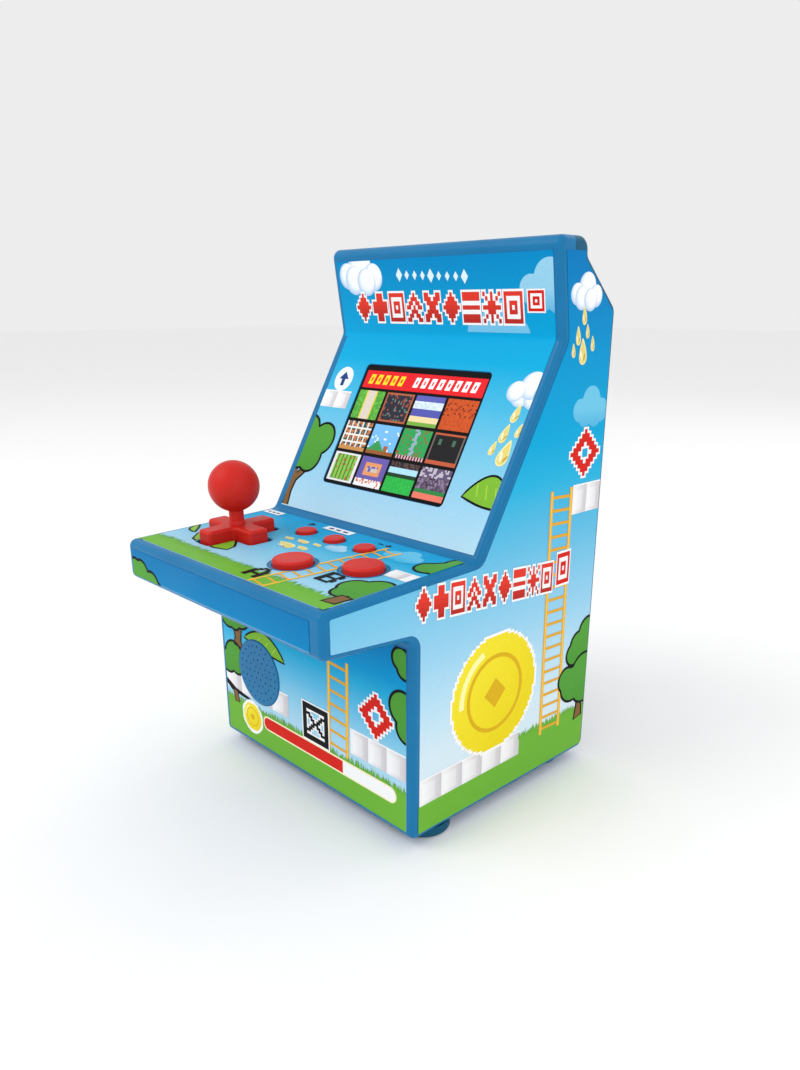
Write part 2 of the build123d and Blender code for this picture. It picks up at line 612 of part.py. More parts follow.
# ---------------------------------------------------------------- main board behind the screen
MAIN_BACK = -MAIN_BOARD_DEPTH - MAIN_BOARD_THICKNESS
with BuildPart() as main_board:
    add(slab(BEZEL_PLANE, MAIN_BACK, -MAIN_BOARD_DEPTH,
             rectangle_face(MAIN_BOARD_WIDTH, MAIN_BOARD_HEIGHT, WINDOW_AT, corner=1.5)))
    add(slab(BEZEL_PLANE, MAIN_BACK - 1, 0, round_face(BOARD_HOLE, *MAIN_BOSSES)), mode=Mode.SUBTRACT)
save(main_board, "main_board")

# (across, up from the window's centre, width, height, thickness) of the parts on the main board
MAIN_CHIPS = [
    (-14.0, 4.0, 14.0, 14.0, 1.2),
    (8.0, 6.0, 8.0, 6.0, 1.0),
    (8.0, -6.0, 5.0, 4.4, 1.0),
    (-30.0, -10.0, 6.0, 5.0, 1.2),
    (24.0, 12.0, 10.0, 4.6, 3.0),
    (24.0, -12.0, 8.0, 6.0, 4.0),
    (-20.0, -16.0, 11.0, 4.6, 3.6),
]
CAPACITOR_RADIUS = 2.5
CAPACITOR_HEIGHT = 5.4
with BuildPart() as main_board_chips:
    for x, y, width, height, thickness in MAIN_CHIPS:
        add(slab(BEZEL_PLANE, MAIN_BACK - thickness, MAIN_BACK,
                 rectangle_face(width, height, (x, WINDOW_CENTRE + y))))
    add(slab(BEZEL_PLANE, MAIN_BACK - CAPACITOR_HEIGHT, MAIN_BACK,
             round_face(CAPACITOR_RADIUS, (-32, WINDOW_CENTRE + 10), (-32, WINDOW_CENTRE + 1.5))))
save(main_board_chips, "main_board_chips")

# ---------------------------------------------------------------- control board and rubber pads
BOARD_WIDTH = 93.0
BOARD_LENGTH = 47.0
BOARD_CENTRE = 29.5
with BuildPart() as control_board:
    add(slab(DECK_PLANE, -BOARD_DEPTH - BOARD_THICKNESS, -BOARD_DEPTH,
             rectangle_face(BOARD_WIDTH, BOARD_LENGTH, (0, BOARD_CENTRE), corner=1.5)))
    add(slab(DECK_PLANE, -BOARD_DEPTH - 3, 0, round_face(BOARD_HOLE, *BOARD_BOSSES)),
        mode=Mode.SUBTRACT)
save(control_board, "control_board")

PAD_THICKNESS = 0.6
PAD_TOP = -BOARD_DEPTH + PAD_THICKNESS
BIG_PLUNGER = 2.5
SMALL_PLUNGER = 1.5
FLANGE_TOP = -WALL - 0.2
FLANGE_BOTTOM = FLANGE_TOP - 0.8
PLUNGER_END = -5.6
with BuildPart() as button_pad:
    add(slab(DECK_PLANE, -BOARD_DEPTH, PAD_TOP, rectangle_face(37, 28, (21.5, 26.5))))
    add(slab(DECK_PLANE, -BOARD_DEPTH, PAD_TOP, rectangle_face(56, 8.4, (11.5, 44.7))))
    for place, radius, _ in BUTTONS.values():
        plunger = BIG_PLUNGER if radius == BIG_RADIUS else SMALL_PLUNGER
        add(slab(DECK_PLANE, PAD_TOP, PLUNGER_END + 1, round_face(plunger + 1.4, place)))
        add(slab(DECK_PLANE, PAD_TOP, 0, round_face(plunger + 0.4, place)), mode=Mode.SUBTRACT)
save(button_pad, "button_pad")

DOME_REACH = 10.4        # joystick axis to each contact dome
DOME_RADIUS = 2.0
DOME_HEIGHT = 1.8
with BuildPart() as direction_pad:
    add(slab(DECK_PLANE, -BOARD_DEPTH, PAD_TOP, rectangle_face(25.4, 25.4, STICK_AT, corner=3)))
    with BuildSketch(DECK_PLANE.offset(PAD_TOP)):
        with Locations(STICK_AT):
            with PolarLocations(DOME_REACH, 4):
                Circle(DOME_RADIUS)
    extrude(amount=DOME_HEIGHT, taper=12)
    add(slab(DECK_PLANE, -BOARD_DEPTH - 1, 0, rectangle_face(17.4, 9.4, STICK_AT, corner=1)),
        mode=Mode.SUBTRACT)
save(direction_pad, "direction_pad")

# ---------------------------------------------------------------- joystick: cross, gimbal, stem and ball
PIN_RADIUS = 0.6
PIN_HOLE = 0.65
RING_OUTER = 5.0
RING_INNER = 3.6
RING_HALF_HEIGHT = 1.2
EAR_INNER = 5.5
EAR_OUTER = 6.9
SHAFT_RADIUS = 2.6
PIVOT_PLANE = DECK_PLANE.offset(-PIVOT_DEPTH)
STICK_X, STICK_Y = STICK_AT
PIVOT = PIVOT_PLANE.from_local_coords((STICK_X, STICK_Y, 0))
# sections across the two gimbal axes
ACROSS = Plane(origin=PIVOT, x_dir=DECK_PLANE.y_dir, z_dir=(1, 0, 0))
ALONG = Plane(origin=PIVOT, x_dir=(1, 0, 0), z_dir=DECK_PLANE.y_dir)

with BuildPart() as gimbal_bracket:
    with BuildSketch(DECK_PLANE.offset(-BOARD_DEPTH)):
        with Locations(STICK_AT):
            Rectangle(16.6, 8.6)
            Circle(5.4, mode=Mode.SUBTRACT)
    extrude(amount=0.5)
    for side in (-1, 1):
        ear_x = STICK_X + side * (EAR_INNER + EAR_OUTER) / 2
        add(slab(DECK_PLANE, -BOARD_DEPTH, -PIVOT_DEPTH + 1.2,
                 rectangle_face(EAR_OUTER - EAR_INNER, 3.2, (ear_x, STICK_Y))))
    add(slab(ACROSS, -EAR_OUTER - 1, EAR_OUTER + 1, round_face(PIN_HOLE, (0, 0))),
        mode=Mode.SUBTRACT)
save(gimbal_bracket, "gimbal_bracket")

with BuildPart() as gimbal_ring:
    with BuildSketch(PIVOT_PLANE.offset(-RING_HALF_HEIGHT)):
        with Locations(STICK_AT):
            Circle(RING_OUTER)
            Circle(RING_INNER, mode=Mode.SUBTRACT)
    extrude(amount=2 * RING_HALF_HEIGHT)
    add(slab(ALONG, -RING_OUTER - 1, RING_OUTER + 1, round_face(PIN_HOLE, (0, 0))),
        mode=Mode.SUBTRACT)
    add(slab(ACROSS, RING_OUTER - 0.4, EAR_OUTER, round_face(PIN_RADIUS, (0, 0))))
    add(slab(ACROSS, -EAR_OUTER, -RING_OUTER + 0.4, round_face(PIN_RADIUS, (0, 0))))
save(gimbal_ring, "gimbal_ring")

STUD_RADIUS = 1.5
with BuildPart() as stick_cross:
    add(slab(DECK_PLANE, CROSS_FOOT, CROSS_TOP, cross_face(CROSS_ARM, CROSS_WIDTH, CROSS_CORNER)))
    fillet(far_face(stick_cross, DECK_PLANE).edges(), 1.0)
    add(slab(DECK_PLANE, CROSS_FOOT - 0.6, CROSS_FOOT + 0.1,
             cross_face(CROSS_FLANGE, FLANGE_WIDTH, CROSS_CORNER)))
    add(slab(DECK_PLANE, -PIVOT_DEPTH - 1.5, CROSS_FOOT - 0.5,
             round_face(SHAFT_RADIUS, STICK_AT)))
    add(slab(ALONG, -RING_OUTER + 0.1, RING_OUTER - 0.1, round_face(PIN_RADIUS, (0, 0))))
    add(slab(DECK_PLANE, -2.0, 10, round_face(STUD_RADIUS, STICK_AT)), mode=Mode.SUBTRACT)
save(stick_cross, "stick_cross")

STEM_TOP = BALL_HEIGHT - 4.0
with BuildPart() as stick_stem:
    add(slab(DECK_PLANE, -2.0, CROSS_TOP, round_face(STUD_RADIUS, STICK_AT)))
    add(slab(DECK_PLANE, CROSS_TOP, STEM_TOP, round_face(STEM_RADIUS, STICK_AT)))
    with BuildSketch(DECK_PLANE.offset(CROSS_TOP)):
        with Locations(STICK_AT):
            Circle(STEM_RADIUS + 0.3)
    extrude(amount=1.2, taper=14)
save(stick_stem, "stick_stem")

with BuildPart() as stick_ball:
    with Locations(DECK_PLANE.from_local_coords((STICK_X, STICK_Y, BALL_HEIGHT))):
        Sphere(BALL_RADIUS)
    add(slab(DECK_PLANE, 0, STEM_TOP, round_face(STEM_RADIUS, STICK_AT)), mode=Mode.SUBTRACT)
save(stick_ball, "stick_ball")

# ---------------------------------------------------------------- buttons
CAP_ROUNDING = 0.14      # share of a cap's radius
BUTTON_FLANGE = 1.0      # keeps a cap from falling out of its hole
for name, (place, radius, proud) in BUTTONS.items():
    plunger = BIG_PLUNGER if radius == BIG_RADIUS else SMALL_PLUNGER
    with BuildPart() as button:
        add(slab(DECK_PLANE, FLANGE_BOTTOM, proud, round_face(radius, place)))
        fillet(far_face(button, DECK_PLANE).edges(), CAP_ROUNDING * radius)
        add(slab(DECK_PLANE, FLANGE_BOTTOM, FLANGE_TOP,
                 round_face(radius + BUTTON_FLANGE, place)))
        add(slab(DECK_PLANE, PLUNGER_END, FLANGE_BOTTOM, round_face(plunger, place)))
    save(button, name)

# ---------------------------------------------------------------- speaker
SPEAKER_AT = (SPEAKER_X, LOWER_FRONT_Y, SPEAKER_Z)
GRILLE_PROUD = 0.45
HOLE_RINGS = 4
HOLE_PITCH = 2.5
HOLE_RADIUS = 0.32
with BuildPart() as speaker_grille:
    add(slab(FRONT_PLANE, -WALL, GRILLE_PROUD, round_face(GRILLE_RADIUS, (SPEAKER_X, SPEAKER_Z))))
    fillet(far_face(speaker_grille, FRONT_PLANE).edges(), 0.4)
    with BuildSketch(FRONT_PLANE.offset(-WALL)):
        with Locations((SPEAKER_X, SPEAKER_Z)):
            Circle(HOLE_RADIUS)
            for ring in range(1, HOLE_RINGS + 1):
                with PolarLocations(ring * HOLE_PITCH, 6 * ring):
                    Circle(HOLE_RADIUS)
    extrude(amount=WALL + 1, mode=Mode.SUBTRACT)
save(speaker_grille, "speaker_grille")

with BuildPart() as speaker_basket:
    add(turned(SPEAKER_AT, [(12.2, 2.0), (14.0, 2.0), (14.0, 3.4), (9.0, 7.0),
                            (6.0, 7.0), (6.0, 6.2), (8.6, 6.2), (12.2, 3.4)]))
save(speaker_basket, "speaker_basket")

with BuildPart() as speaker_cone:
    add(turned(SPEAKER_AT, [(0, 4.6), (3.4, 5.4), (12.1, 2.6), (12.1, 3.0),
                            (3.6, 6.0), (0, 5.2)]))
save(speaker_cone, "speaker_cone")

with BuildPart() as speaker_magnet:
    add(turned(SPEAKER_AT, [(0, 7.0), (7.4, 7.0), (7.4, 11.0), (0, 11.0)]))
save(speaker_magnet, "speaker_magnet")

# ---------------------------------------------------------------- battery bay
TRAY_FRONT = 2 * WALL
CELL_Z = [BAY_CENTRE_Z + (i - 1) * CELL_PITCH for i in range(CELL_COUNT)]
CELL_Y = Y_BACK - TRAY_FRONT - BAY_DEPTH + TRAY_WALL + CELL_RADIUS + 0.3
with BuildPart() as battery_tray:
    add(slab(BACK_PLANE, TRAY_FRONT, TRAY_FRONT + BAY_DEPTH,
             rectangle_face(BAY_WIDTH + 2 * TRAY_WALL, BAY_HEIGHT + 2 * TRAY_WALL,
                            (0, BAY_CENTRE_Z))))
    add(slab(BACK_PLANE, 0, TRAY_FRONT + BAY_DEPTH - TRAY_WALL,
             rectangle_face(BAY_WIDTH, BAY_HEIGHT, (0, BAY_CENTRE_Z))), mode=Mode.SUBTRACT)
save(battery_tray, "battery_tray")

TIP_LENGTH = 1.2
TIP_RADIUS = 2.6
with BuildPart() as battery_cells:
    for i, z in enumerate(CELL_Z):
        flip = 1 if i % 2 else -1
        section = Plane(origin=(0, CELL_Y, z), x_dir=(0, 1, 0), z_dir=(flip, 0, 0))
        add(slab(section, -CELL_LENGTH / 2, CELL_LENGTH / 2, round_face(CELL_RADIUS, (0, 0))))
        add(slab(section, CELL_LENGTH / 2, CELL_LENGTH / 2 + TIP_LENGTH,
                 round_face(TIP_RADIUS, (0, 0))))
save(battery_cells, "battery_cells")

PLATE_THICKNESS = 0.5
PLATE_HALF = 5.0
with BuildPart() as battery_contacts:
    for side in (-1, 1):
        for z in CELL_Z:
            wall_x = side * (BAY_WIDTH / 2 - PLATE_THICKNESS / 2)
            add(block((wall_x - PLATE_THICKNESS / 2, CELL_Y - PLATE_HALF, z - PLATE_HALF),
                      (wall_x + PLATE_THICKNESS / 2, CELL_Y + PLATE_HALF, z + PLATE_HALF)))
save(battery_contacts, "battery_contacts")

SPRING_LENGTH = BAY_WIDTH / 2 - PLATE_THICKNESS - CELL_LENGTH / 2
SPRING_RADIUS = 2.6
SPRING_WIRE = 0.3
SPRING_PITCH = 1.1
with BuildPart() as battery_springs:
    for i, z in enumerate(CELL_Z):
        flip = 1 if i % 2 else -1
        start = (-flip * (CELL_LENGTH / 2 + 0.4), CELL_Y, z)
        add(coil(SPRING_RADIUS, SPRING_WIRE, SPRING_PITCH, SPRING_LENGTH - 0.8, start,
                 (-flip, 0, 0)))
save(battery_springs, "battery_springs")

RIDGES = 5
RIDGE_WIDTH = 18.0
RIDGE_PITCH = 2.4
RIDGE_FOOT_Z = BAY_CENTRE_Z - 20.0
with BuildPart() as battery_door:
    add(slab(BACK_PLANE, 0, WALL - 0.05, door_face(0)))
    # finger ridges along the lower half
    for i in range(RIDGES):
        add(slab(BACK_PLANE, -LABEL, 0.2,
                 rectangle_face(RIDGE_WIDTH, 1.0, (0, RIDGE_FOOT_Z + i * RIDGE_PITCH))))
    add(slab(BACK_PLANE, -1, 1.0, round_face(HEAD_WELL, (0, DOOR_SCREW_Z))),
        mode=Mode.SUBTRACT)
    add(slab(BACK_PLANE, 0, WALL, round_face(SCREW_RADIUS + 0.05, (0, DOOR_SCREW_Z))),
        mode=Mode.SUBTRACT)
save(battery_door, "battery_door")

# ---------------------------------------------------------------- power switch
SWITCH_LID = Y_BACK - WALL - SWITCH_DEPTH
with BuildPart() as switch_body:
    add(block((-8, SWITCH_LID, SWITCH_Z - 3.6), (8, Y_BACK - WALL, SWITCH_Z + 3.6)))
    add(block((-6.6, Y_BACK - WALL - 1.6, SWITCH_Z - 2.9),
              (6.6, Y_BACK, SWITCH_Z + 2.9)), mode=Mode.SUBTRACT)
save(switch_body, "switch_body")

KNOB_X = -SWITCH_TRAVEL / 2
with BuildPart() as switch_slider:
    add(block((KNOB_X - 4, Y_BACK - WALL - 1.4, SWITCH_Z - 2.7),
              (KNOB_X + 4, Y_BACK - WALL - 0.2, SWITCH_Z + 2.7)))
    add(block((KNOB_X - SWITCH_KNOB / 2, Y_BACK - WALL - 0.3, SWITCH_Z - SWITCH_KNOB / 2),
              (KNOB_X + SWITCH_KNOB / 2, Y_BACK, SWITCH_Z + SWITCH_KNOB / 2)))
    for i in (-1, 0, 1):
        add(block((KNOB_X + i * 1.1 - 0.25, Y_BACK - 0.3, SWITCH_Z - SWITCH_KNOB / 2),
                  (KNOB_X + i * 1.1 + 0.25, Y_BACK + LABEL, SWITCH_Z + SWITCH_KNOB / 2)))
save(switch_slider, "switch_slider")


# ---------------------------------------------------------------- screws
def screw(plane, place, shoulder, length, shank):
    """A pan-head screw with a cross recess; its head stands on the shoulder, outward."""
    head = SCREW_HEAD * shank / SCREW_RADIUS
    with BuildPart() as one:
        add(slab(plane, shoulder - length, shoulder, round_face(shank, place)))
        add(slab(plane, shoulder, shoulder + shank, round_face(head, place)))
        fillet(far_face(one, plane).edges(), 0.5 * shank)
        recess = rectangle_face(0.9 * head, 0.28 * head, place)
        add(slab(plane, shoulder + 0.4 * shank, shoulder + 2 * shank, recess),
            mode=Mode.SUBTRACT)
        recess = rectangle_face(0.28 * head, 0.9 * head, place)
        add(slab(plane, shoulder + 0.4 * shank, shoulder + 2 * shank, recess),
            mode=Mode.SUBTRACT)
    return one.part


OUT_BACK = Plane(origin=(0, 0, 0), x_dir=(-1, 0, 0), z_dir=(0, 1, 0))
OUT_BOTTOM = Plane(origin=(0, 0, 0), x_dir=(-1, 0, 0), z_dir=(0, 0, -1))
THREAD = POST_HOLE - 0.05

with BuildPart() as case_screws:
    for x, z in LOWER_POSTS:
        add(screw(OUT_BACK, (-x, z), LOWER_JOINT_Y + SCREW_DEPTH, SCREW_DEPTH + 9, THREAD))
    for x, z in UPPER_POSTS:
        add(screw(OUT_BACK, (-x, z), UPPER_JOINT_Y + 4, 9, THREAD))
save(case_screws, "case_screws")

with BuildPart() as base_screws:
    for x, y in BASE_POSTS:
        add(screw(OUT_BOTTOM, (-x, y), -FOOT_HEIGHT - WALL, 9, THREAD))
save(base_screws, "base_screws")

with BuildPart() as battery_door_screw:
    add(screw(OUT_BACK, (0, DOOR_SCREW_Z), Y_BACK - 1.0, 6, THREAD))
save(battery_door_screw, "battery_door_screw")

BOARD_THREAD = 0.75
with BuildPart() as control_board_screws:
    for place in BOARD_BOSSES:
        add(screw(DECK_PLANE.rotated((180, 0, 0)), (place[0], -place[1]),
                  BOARD_DEPTH + BOARD_THICKNESS, 5, BOARD_THREAD))
save(control_board_screws, "control_board_screws")

with BuildPart() as main_board_screws:
    for place in MAIN_BOSSES:
        add(screw(BEZEL_PLANE.rotated((180, 0, 0)), (place[0], -place[1]),
                  MAIN_BOARD_DEPTH + MAIN_BOARD_THICKNESS, 6, BOARD_THREAD))
save(main_board_screws, "main_board_screws")

# ---------------------------------------------------------------- cables inside the case
RIBBON_WIDTH = 14.0
RIBBON_THICKNESS = 0.7
MAIN_FOOT = BEZEL_PLANE.from_local_coords(
    (0, WINDOW_CENTRE - MAIN_BOARD_HEIGHT / 2 + 4, MAIN_BACK - RIBBON_THICKNESS / 2))
CONTROL_BACK = DECK_PLANE.from_local_coords((0, 49, -BOARD_DEPTH - BOARD_THICKNESS - 0.5))
with BuildPart() as ribbon_cable:
    with BuildSketch(Plane.YZ.offset(16)):
        with BuildLine():
            Polyline(
                (MAIN_FOOT.Y, MAIN_FOOT.Z),
                (MAIN_FOOT.Y - 4, MAIN_FOOT.Z - 9),
                (CONTROL_BACK.Y + 9, CONTROL_BACK.Z + 0.3),
                (CONTROL_BACK.Y, CONTROL_BACK.Z),
            )
        trace(line_width=RIBBON_THICKNESS)
    extrude(amount=RIBBON_WIDTH)
save(ribbon_cable, "ribbon_cable")

WIRE_RADIUS = 0.6
with BuildPart() as speaker_wires:
    for gap in (-1.0, 1.0):
        add(wire(
            WIRE_RADIUS,
            (SPEAKER_X + gap, LOWER_FRONT_Y + 11.8, SPEAKER_Z + 3),
            (SPEAKER_X + gap - 2, LOWER_FRONT_Y + 22, SPEAKER_Z + 16),
            (SPEAKER_X + gap + 2, 14, SPEAKER_Z + 44),
            (SPEAKER_X + gap + 6.6, 20.8, SPEAKER_Z + 61.8),
        ))
save(speaker_wires, "speaker_wires")

with BuildPart() as battery_wires:
    for gap in (-1.0, 1.0):
        add(wire(
            WIRE_RADIUS,
            (24 + gap, Y_BACK - TRAY_FRONT - BAY_DEPTH - 0.7, BAY_CENTRE_Z + 18),
            (25 + gap, Y_BACK - TRAY_FRONT - BAY_DEPTH - 5, BAY_CENTRE_Z + 32),
            (25 + gap, 30, BAY_CENTRE_Z + 49),
            (24 + gap, 23.1, BAY_CENTRE_Z + 63.6),
        ))
save(battery_wires, "battery_wires")
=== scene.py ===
"""Looks of the mini bartop arcade cabinet.

Plastics, printed film artwork, the picture on the screen, light and camera.
Places in the artwork are millimetres on the panel that carries it.
"""
import json
import random
from math import atan2, cos, hypot, pi, radians, sin

import bmesh
import bpy
from mathutils import Vector
from mathutils.geometry import tessellate_polygon
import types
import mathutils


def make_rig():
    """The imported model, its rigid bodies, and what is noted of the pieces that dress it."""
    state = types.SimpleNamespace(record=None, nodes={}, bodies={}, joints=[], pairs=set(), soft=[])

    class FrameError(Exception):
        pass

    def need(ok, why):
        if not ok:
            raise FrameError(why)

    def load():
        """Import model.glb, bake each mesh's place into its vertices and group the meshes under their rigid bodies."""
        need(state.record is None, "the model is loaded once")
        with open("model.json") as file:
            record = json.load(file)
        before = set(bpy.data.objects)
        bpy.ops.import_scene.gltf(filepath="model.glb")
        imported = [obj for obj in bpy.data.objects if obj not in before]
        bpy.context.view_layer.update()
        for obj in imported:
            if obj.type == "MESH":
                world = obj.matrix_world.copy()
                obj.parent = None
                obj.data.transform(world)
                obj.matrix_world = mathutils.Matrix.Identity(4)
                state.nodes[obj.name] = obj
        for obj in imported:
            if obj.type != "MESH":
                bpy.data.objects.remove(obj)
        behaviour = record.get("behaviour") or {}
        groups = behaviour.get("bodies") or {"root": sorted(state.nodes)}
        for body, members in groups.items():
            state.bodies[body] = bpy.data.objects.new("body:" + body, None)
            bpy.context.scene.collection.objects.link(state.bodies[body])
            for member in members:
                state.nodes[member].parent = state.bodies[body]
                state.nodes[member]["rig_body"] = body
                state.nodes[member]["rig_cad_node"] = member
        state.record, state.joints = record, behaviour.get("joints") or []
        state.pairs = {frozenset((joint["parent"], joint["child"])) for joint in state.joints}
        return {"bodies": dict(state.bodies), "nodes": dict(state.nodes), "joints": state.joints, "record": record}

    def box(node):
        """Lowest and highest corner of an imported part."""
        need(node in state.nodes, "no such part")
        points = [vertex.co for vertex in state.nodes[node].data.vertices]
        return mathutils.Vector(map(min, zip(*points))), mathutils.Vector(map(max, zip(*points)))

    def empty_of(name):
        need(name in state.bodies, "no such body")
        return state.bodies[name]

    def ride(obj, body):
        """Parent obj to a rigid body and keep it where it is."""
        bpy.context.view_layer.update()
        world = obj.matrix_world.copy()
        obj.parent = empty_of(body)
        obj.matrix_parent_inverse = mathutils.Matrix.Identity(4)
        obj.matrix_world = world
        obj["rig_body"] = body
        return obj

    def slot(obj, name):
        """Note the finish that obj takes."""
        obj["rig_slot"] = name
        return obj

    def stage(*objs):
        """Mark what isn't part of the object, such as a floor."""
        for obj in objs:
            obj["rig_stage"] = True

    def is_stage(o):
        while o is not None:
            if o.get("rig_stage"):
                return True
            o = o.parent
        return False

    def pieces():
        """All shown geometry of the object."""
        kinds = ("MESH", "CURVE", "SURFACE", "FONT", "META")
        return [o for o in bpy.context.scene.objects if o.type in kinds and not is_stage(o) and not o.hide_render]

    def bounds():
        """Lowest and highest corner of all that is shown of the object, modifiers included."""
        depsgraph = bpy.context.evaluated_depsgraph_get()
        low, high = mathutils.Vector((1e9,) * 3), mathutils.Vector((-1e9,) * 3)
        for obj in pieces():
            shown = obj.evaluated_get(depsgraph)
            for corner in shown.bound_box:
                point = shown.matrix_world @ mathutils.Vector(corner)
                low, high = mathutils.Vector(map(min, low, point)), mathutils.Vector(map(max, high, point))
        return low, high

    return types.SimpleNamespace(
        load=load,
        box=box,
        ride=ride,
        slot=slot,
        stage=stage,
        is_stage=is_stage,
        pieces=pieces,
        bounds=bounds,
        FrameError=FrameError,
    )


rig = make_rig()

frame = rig.load()
cad_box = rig.bounds()
MM = 0.001

# ------------------------------------------------------------------ colours
def linear(rgb):
    """Display colour, 0 to 255, as the linear values that shaders take."""
    return tuple(((c / 255 + 0.055) / 1.055) ** 2.4 if c > 10 else c / 255 / 12.92 for c in rgb)


def mix(a, b, t):
    """The colour a share t of the way from a to b."""
    t = max(0.0, min(1.0, t))
    return tuple(x + (y - x) * t for x, y in zip(a, b))


WHITE = (250, 250, 250)
BLACK = (14, 13, 15)
FRAME_BLUE = (6, 114, 168)
# frame blue darkened with painted shade, as the hidden rear and lower faces look in shade
SHADED_TEAL = (0, 82, 116)
RED = (218, 34, 24)
LEAF = (84, 160, 58)
LIME = (128, 188, 54)
GRASS = (112, 181, 58)
DARK_GRASS = (70, 150, 52)
BARK = (132, 96, 56)
GOLD = (240, 181, 52)
PALE_GOLD = (232, 214, 124)
CREAM = (250, 240, 200)
TOKEN_LINE = (222, 178, 26)


# ------------------------------------------------------------------ materials
def new_material(name):
    material = bpy.data.materials.new(name)
    material.use_nodes = True
    nodes, links = material.node_tree.nodes, material.node_tree.links
    return material, nodes, links, nodes["Principled BSDF"]


def add_noise(nodes, links, coords, scale, detail=3.0):
    noise = nodes.new("ShaderNodeTexNoise")
    noise.inputs["Scale"].default_value = scale
    noise.inputs["Detail"].default_value = detail
    links.new(coords, noise.inputs["Vector"])
    return noise.outputs["Fac"]


def add_range(nodes, links, value, low, high, start=0.3, end=0.7):
    span = nodes.new("ShaderNodeMapRange")
    span.inputs["From Min"].default_value = start
    span.inputs["From Max"].default_value = end
    span.inputs["To Min"].default_value = low
    span.inputs["To Max"].default_value = high
    links.new(value, span.inputs["Value"])
    return span.outputs["Result"]


def add_bump(nodes, links, height, strength, distance, shader):
    bump = nodes.new("ShaderNodeBump")
    bump.inputs["Strength"].default_value = strength
    bump.inputs["Distance"].default_value = distance
    links.new(height, bump.inputs["Height"])
    links.new(bump.outputs["Normal"], shader.inputs["Normal"])


def moulded(name, rgb, rough=(0.28, 0.40), grain=2600, bump=0.12, metallic=0.0, coat=0.0,
            shade=0.10):
    """Moulded plastic, rubber or plated metal: cloudy colour, uneven gloss and a fine surface grain."""
    material, nodes, links, shader = new_material(name)
    coords = nodes.new("ShaderNodeTexCoord").outputs["Object"]
    cloud = add_noise(nodes, links, coords, 38, 4)
    ramp = nodes.new("ShaderNodeMix")
    ramp.data_type = "RGBA"
    ramp.inputs["A"].default_value = (*linear(mix(rgb, (0, 0, 0), shade)), 1)
    ramp.inputs["B"].default_value = (*linear(mix(rgb, (255, 255, 255), shade * 0.5)), 1)
    links.new(add_range(nodes, links, cloud, 0, 1), ramp.inputs["Factor"])
    links.new(ramp.outputs["Result"], shader.inputs["Base Color"])
    smudge = add_noise(nodes, links, coords, 120, 5)
    links.new(add_range(nodes, links, smudge, *rough), shader.inputs["Roughness"])
    fine = add_noise(nodes, links, coords, grain, 2)
    add_bump(nodes, links, fine, bump, 0.00006, shader)
    shader.inputs["Metallic"].default_value = metallic
    shader.inputs["Specular IOR Level"].default_value = 0.20
    shader.inputs["Coat Weight"].default_value = coat
    shader.inputs["Coat Roughness"].default_value = 0.12
    return material


def printed_film(name, axis, stops):
    """Printed film whose sky fades along one axis; the stops are (metres along the axis, colour)."""
    material, nodes, links, shader = new_material(name)
    coords = nodes.new("ShaderNodeTexCoord").outputs["Object"]
    split = nodes.new("ShaderNodeSeparateXYZ")
    links.new(coords, split.inputs["Vector"])
    low, high = stops[0][0], stops[-1][0]
    along = add_range(nodes, links, split.outputs[axis], 0, 1, low, high)
    ramp = nodes.new("ShaderNodeValToRGB")
    for i, (place, rgb) in enumerate(stops):
        t = (place - low) / (high - low)
        stop = ramp.color_ramp.elements[min(i, 1)] if i < 2 else ramp.color_ramp.elements.new(t)
        stop.position = t
        stop.color = (*linear(rgb), 1)
    links.new(along, ramp.inputs["Fac"])
    finish_film(nodes, links, shader, coords, ramp.outputs["Color"])
    return material


def finish_film(nodes, links, shader, coords, colour):
    """Print grain, uneven varnish and a faint film ripple, shared by every printed surface."""
    grain = add_noise(nodes, links, coords, 1500, 2)
    darker = nodes.new("ShaderNodeMix")
    darker.data_type = "RGBA"
    darker.blend_type = "MULTIPLY"
    darker.inputs["B"].default_value = (0.90, 0.91, 0.93, 1)
    links.new(add_range(nodes, links, grain, 0, 0.6), darker.inputs["Factor"])
    links.new(colour, darker.inputs["A"])
    links.new(darker.outputs["Result"], shader.inputs["Base Color"])
    varnish = add_noise(nodes, links, coords, 90, 4)
    links.new(add_range(nodes, links, varnish, 0.34, 0.48), shader.inputs["Roughness"])
    ripple = add_noise(nodes, links, coords, 420, 3)
    add_bump(nodes, links, ripple, 0.05, 0.0001, shader)
    shader.inputs["Specular IOR Level"].default_value = 0.06


def ink(name, glow=0.0):
    """Printed shapes, whose colour is painted on the mesh."""
    material, nodes, links, shader = new_material(name)
    coords = nodes.new("ShaderNodeTexCoord").outputs["Object"]
    paint = nodes.new("ShaderNodeVertexColor")
    paint.layer_name = "ink"
    finish_film(nodes, links, shader, coords, paint.outputs["Color"])
    if glow:
        links.new(paint.outputs["Color"], shader.inputs["Emission Color"])
        shader.inputs["Emission Strength"].default_value = glow
    return material


def clear_sheet(name):
    """Thin dark see-through plastic with smudges."""
    material, nodes, links, shader = new_material(name)
    coords = nodes.new("ShaderNodeTexCoord").outputs["Object"]
    smudge = add_noise(nodes, links, coords, 70, 5)
    links.new(add_range(nodes, links, smudge, 0.04, 0.12), shader.inputs["Roughness"])
    shader.inputs["Base Color"].default_value = (0.01, 0.01, 0.012, 1)
    shader.inputs["Alpha"].default_value = 0.35
    return material


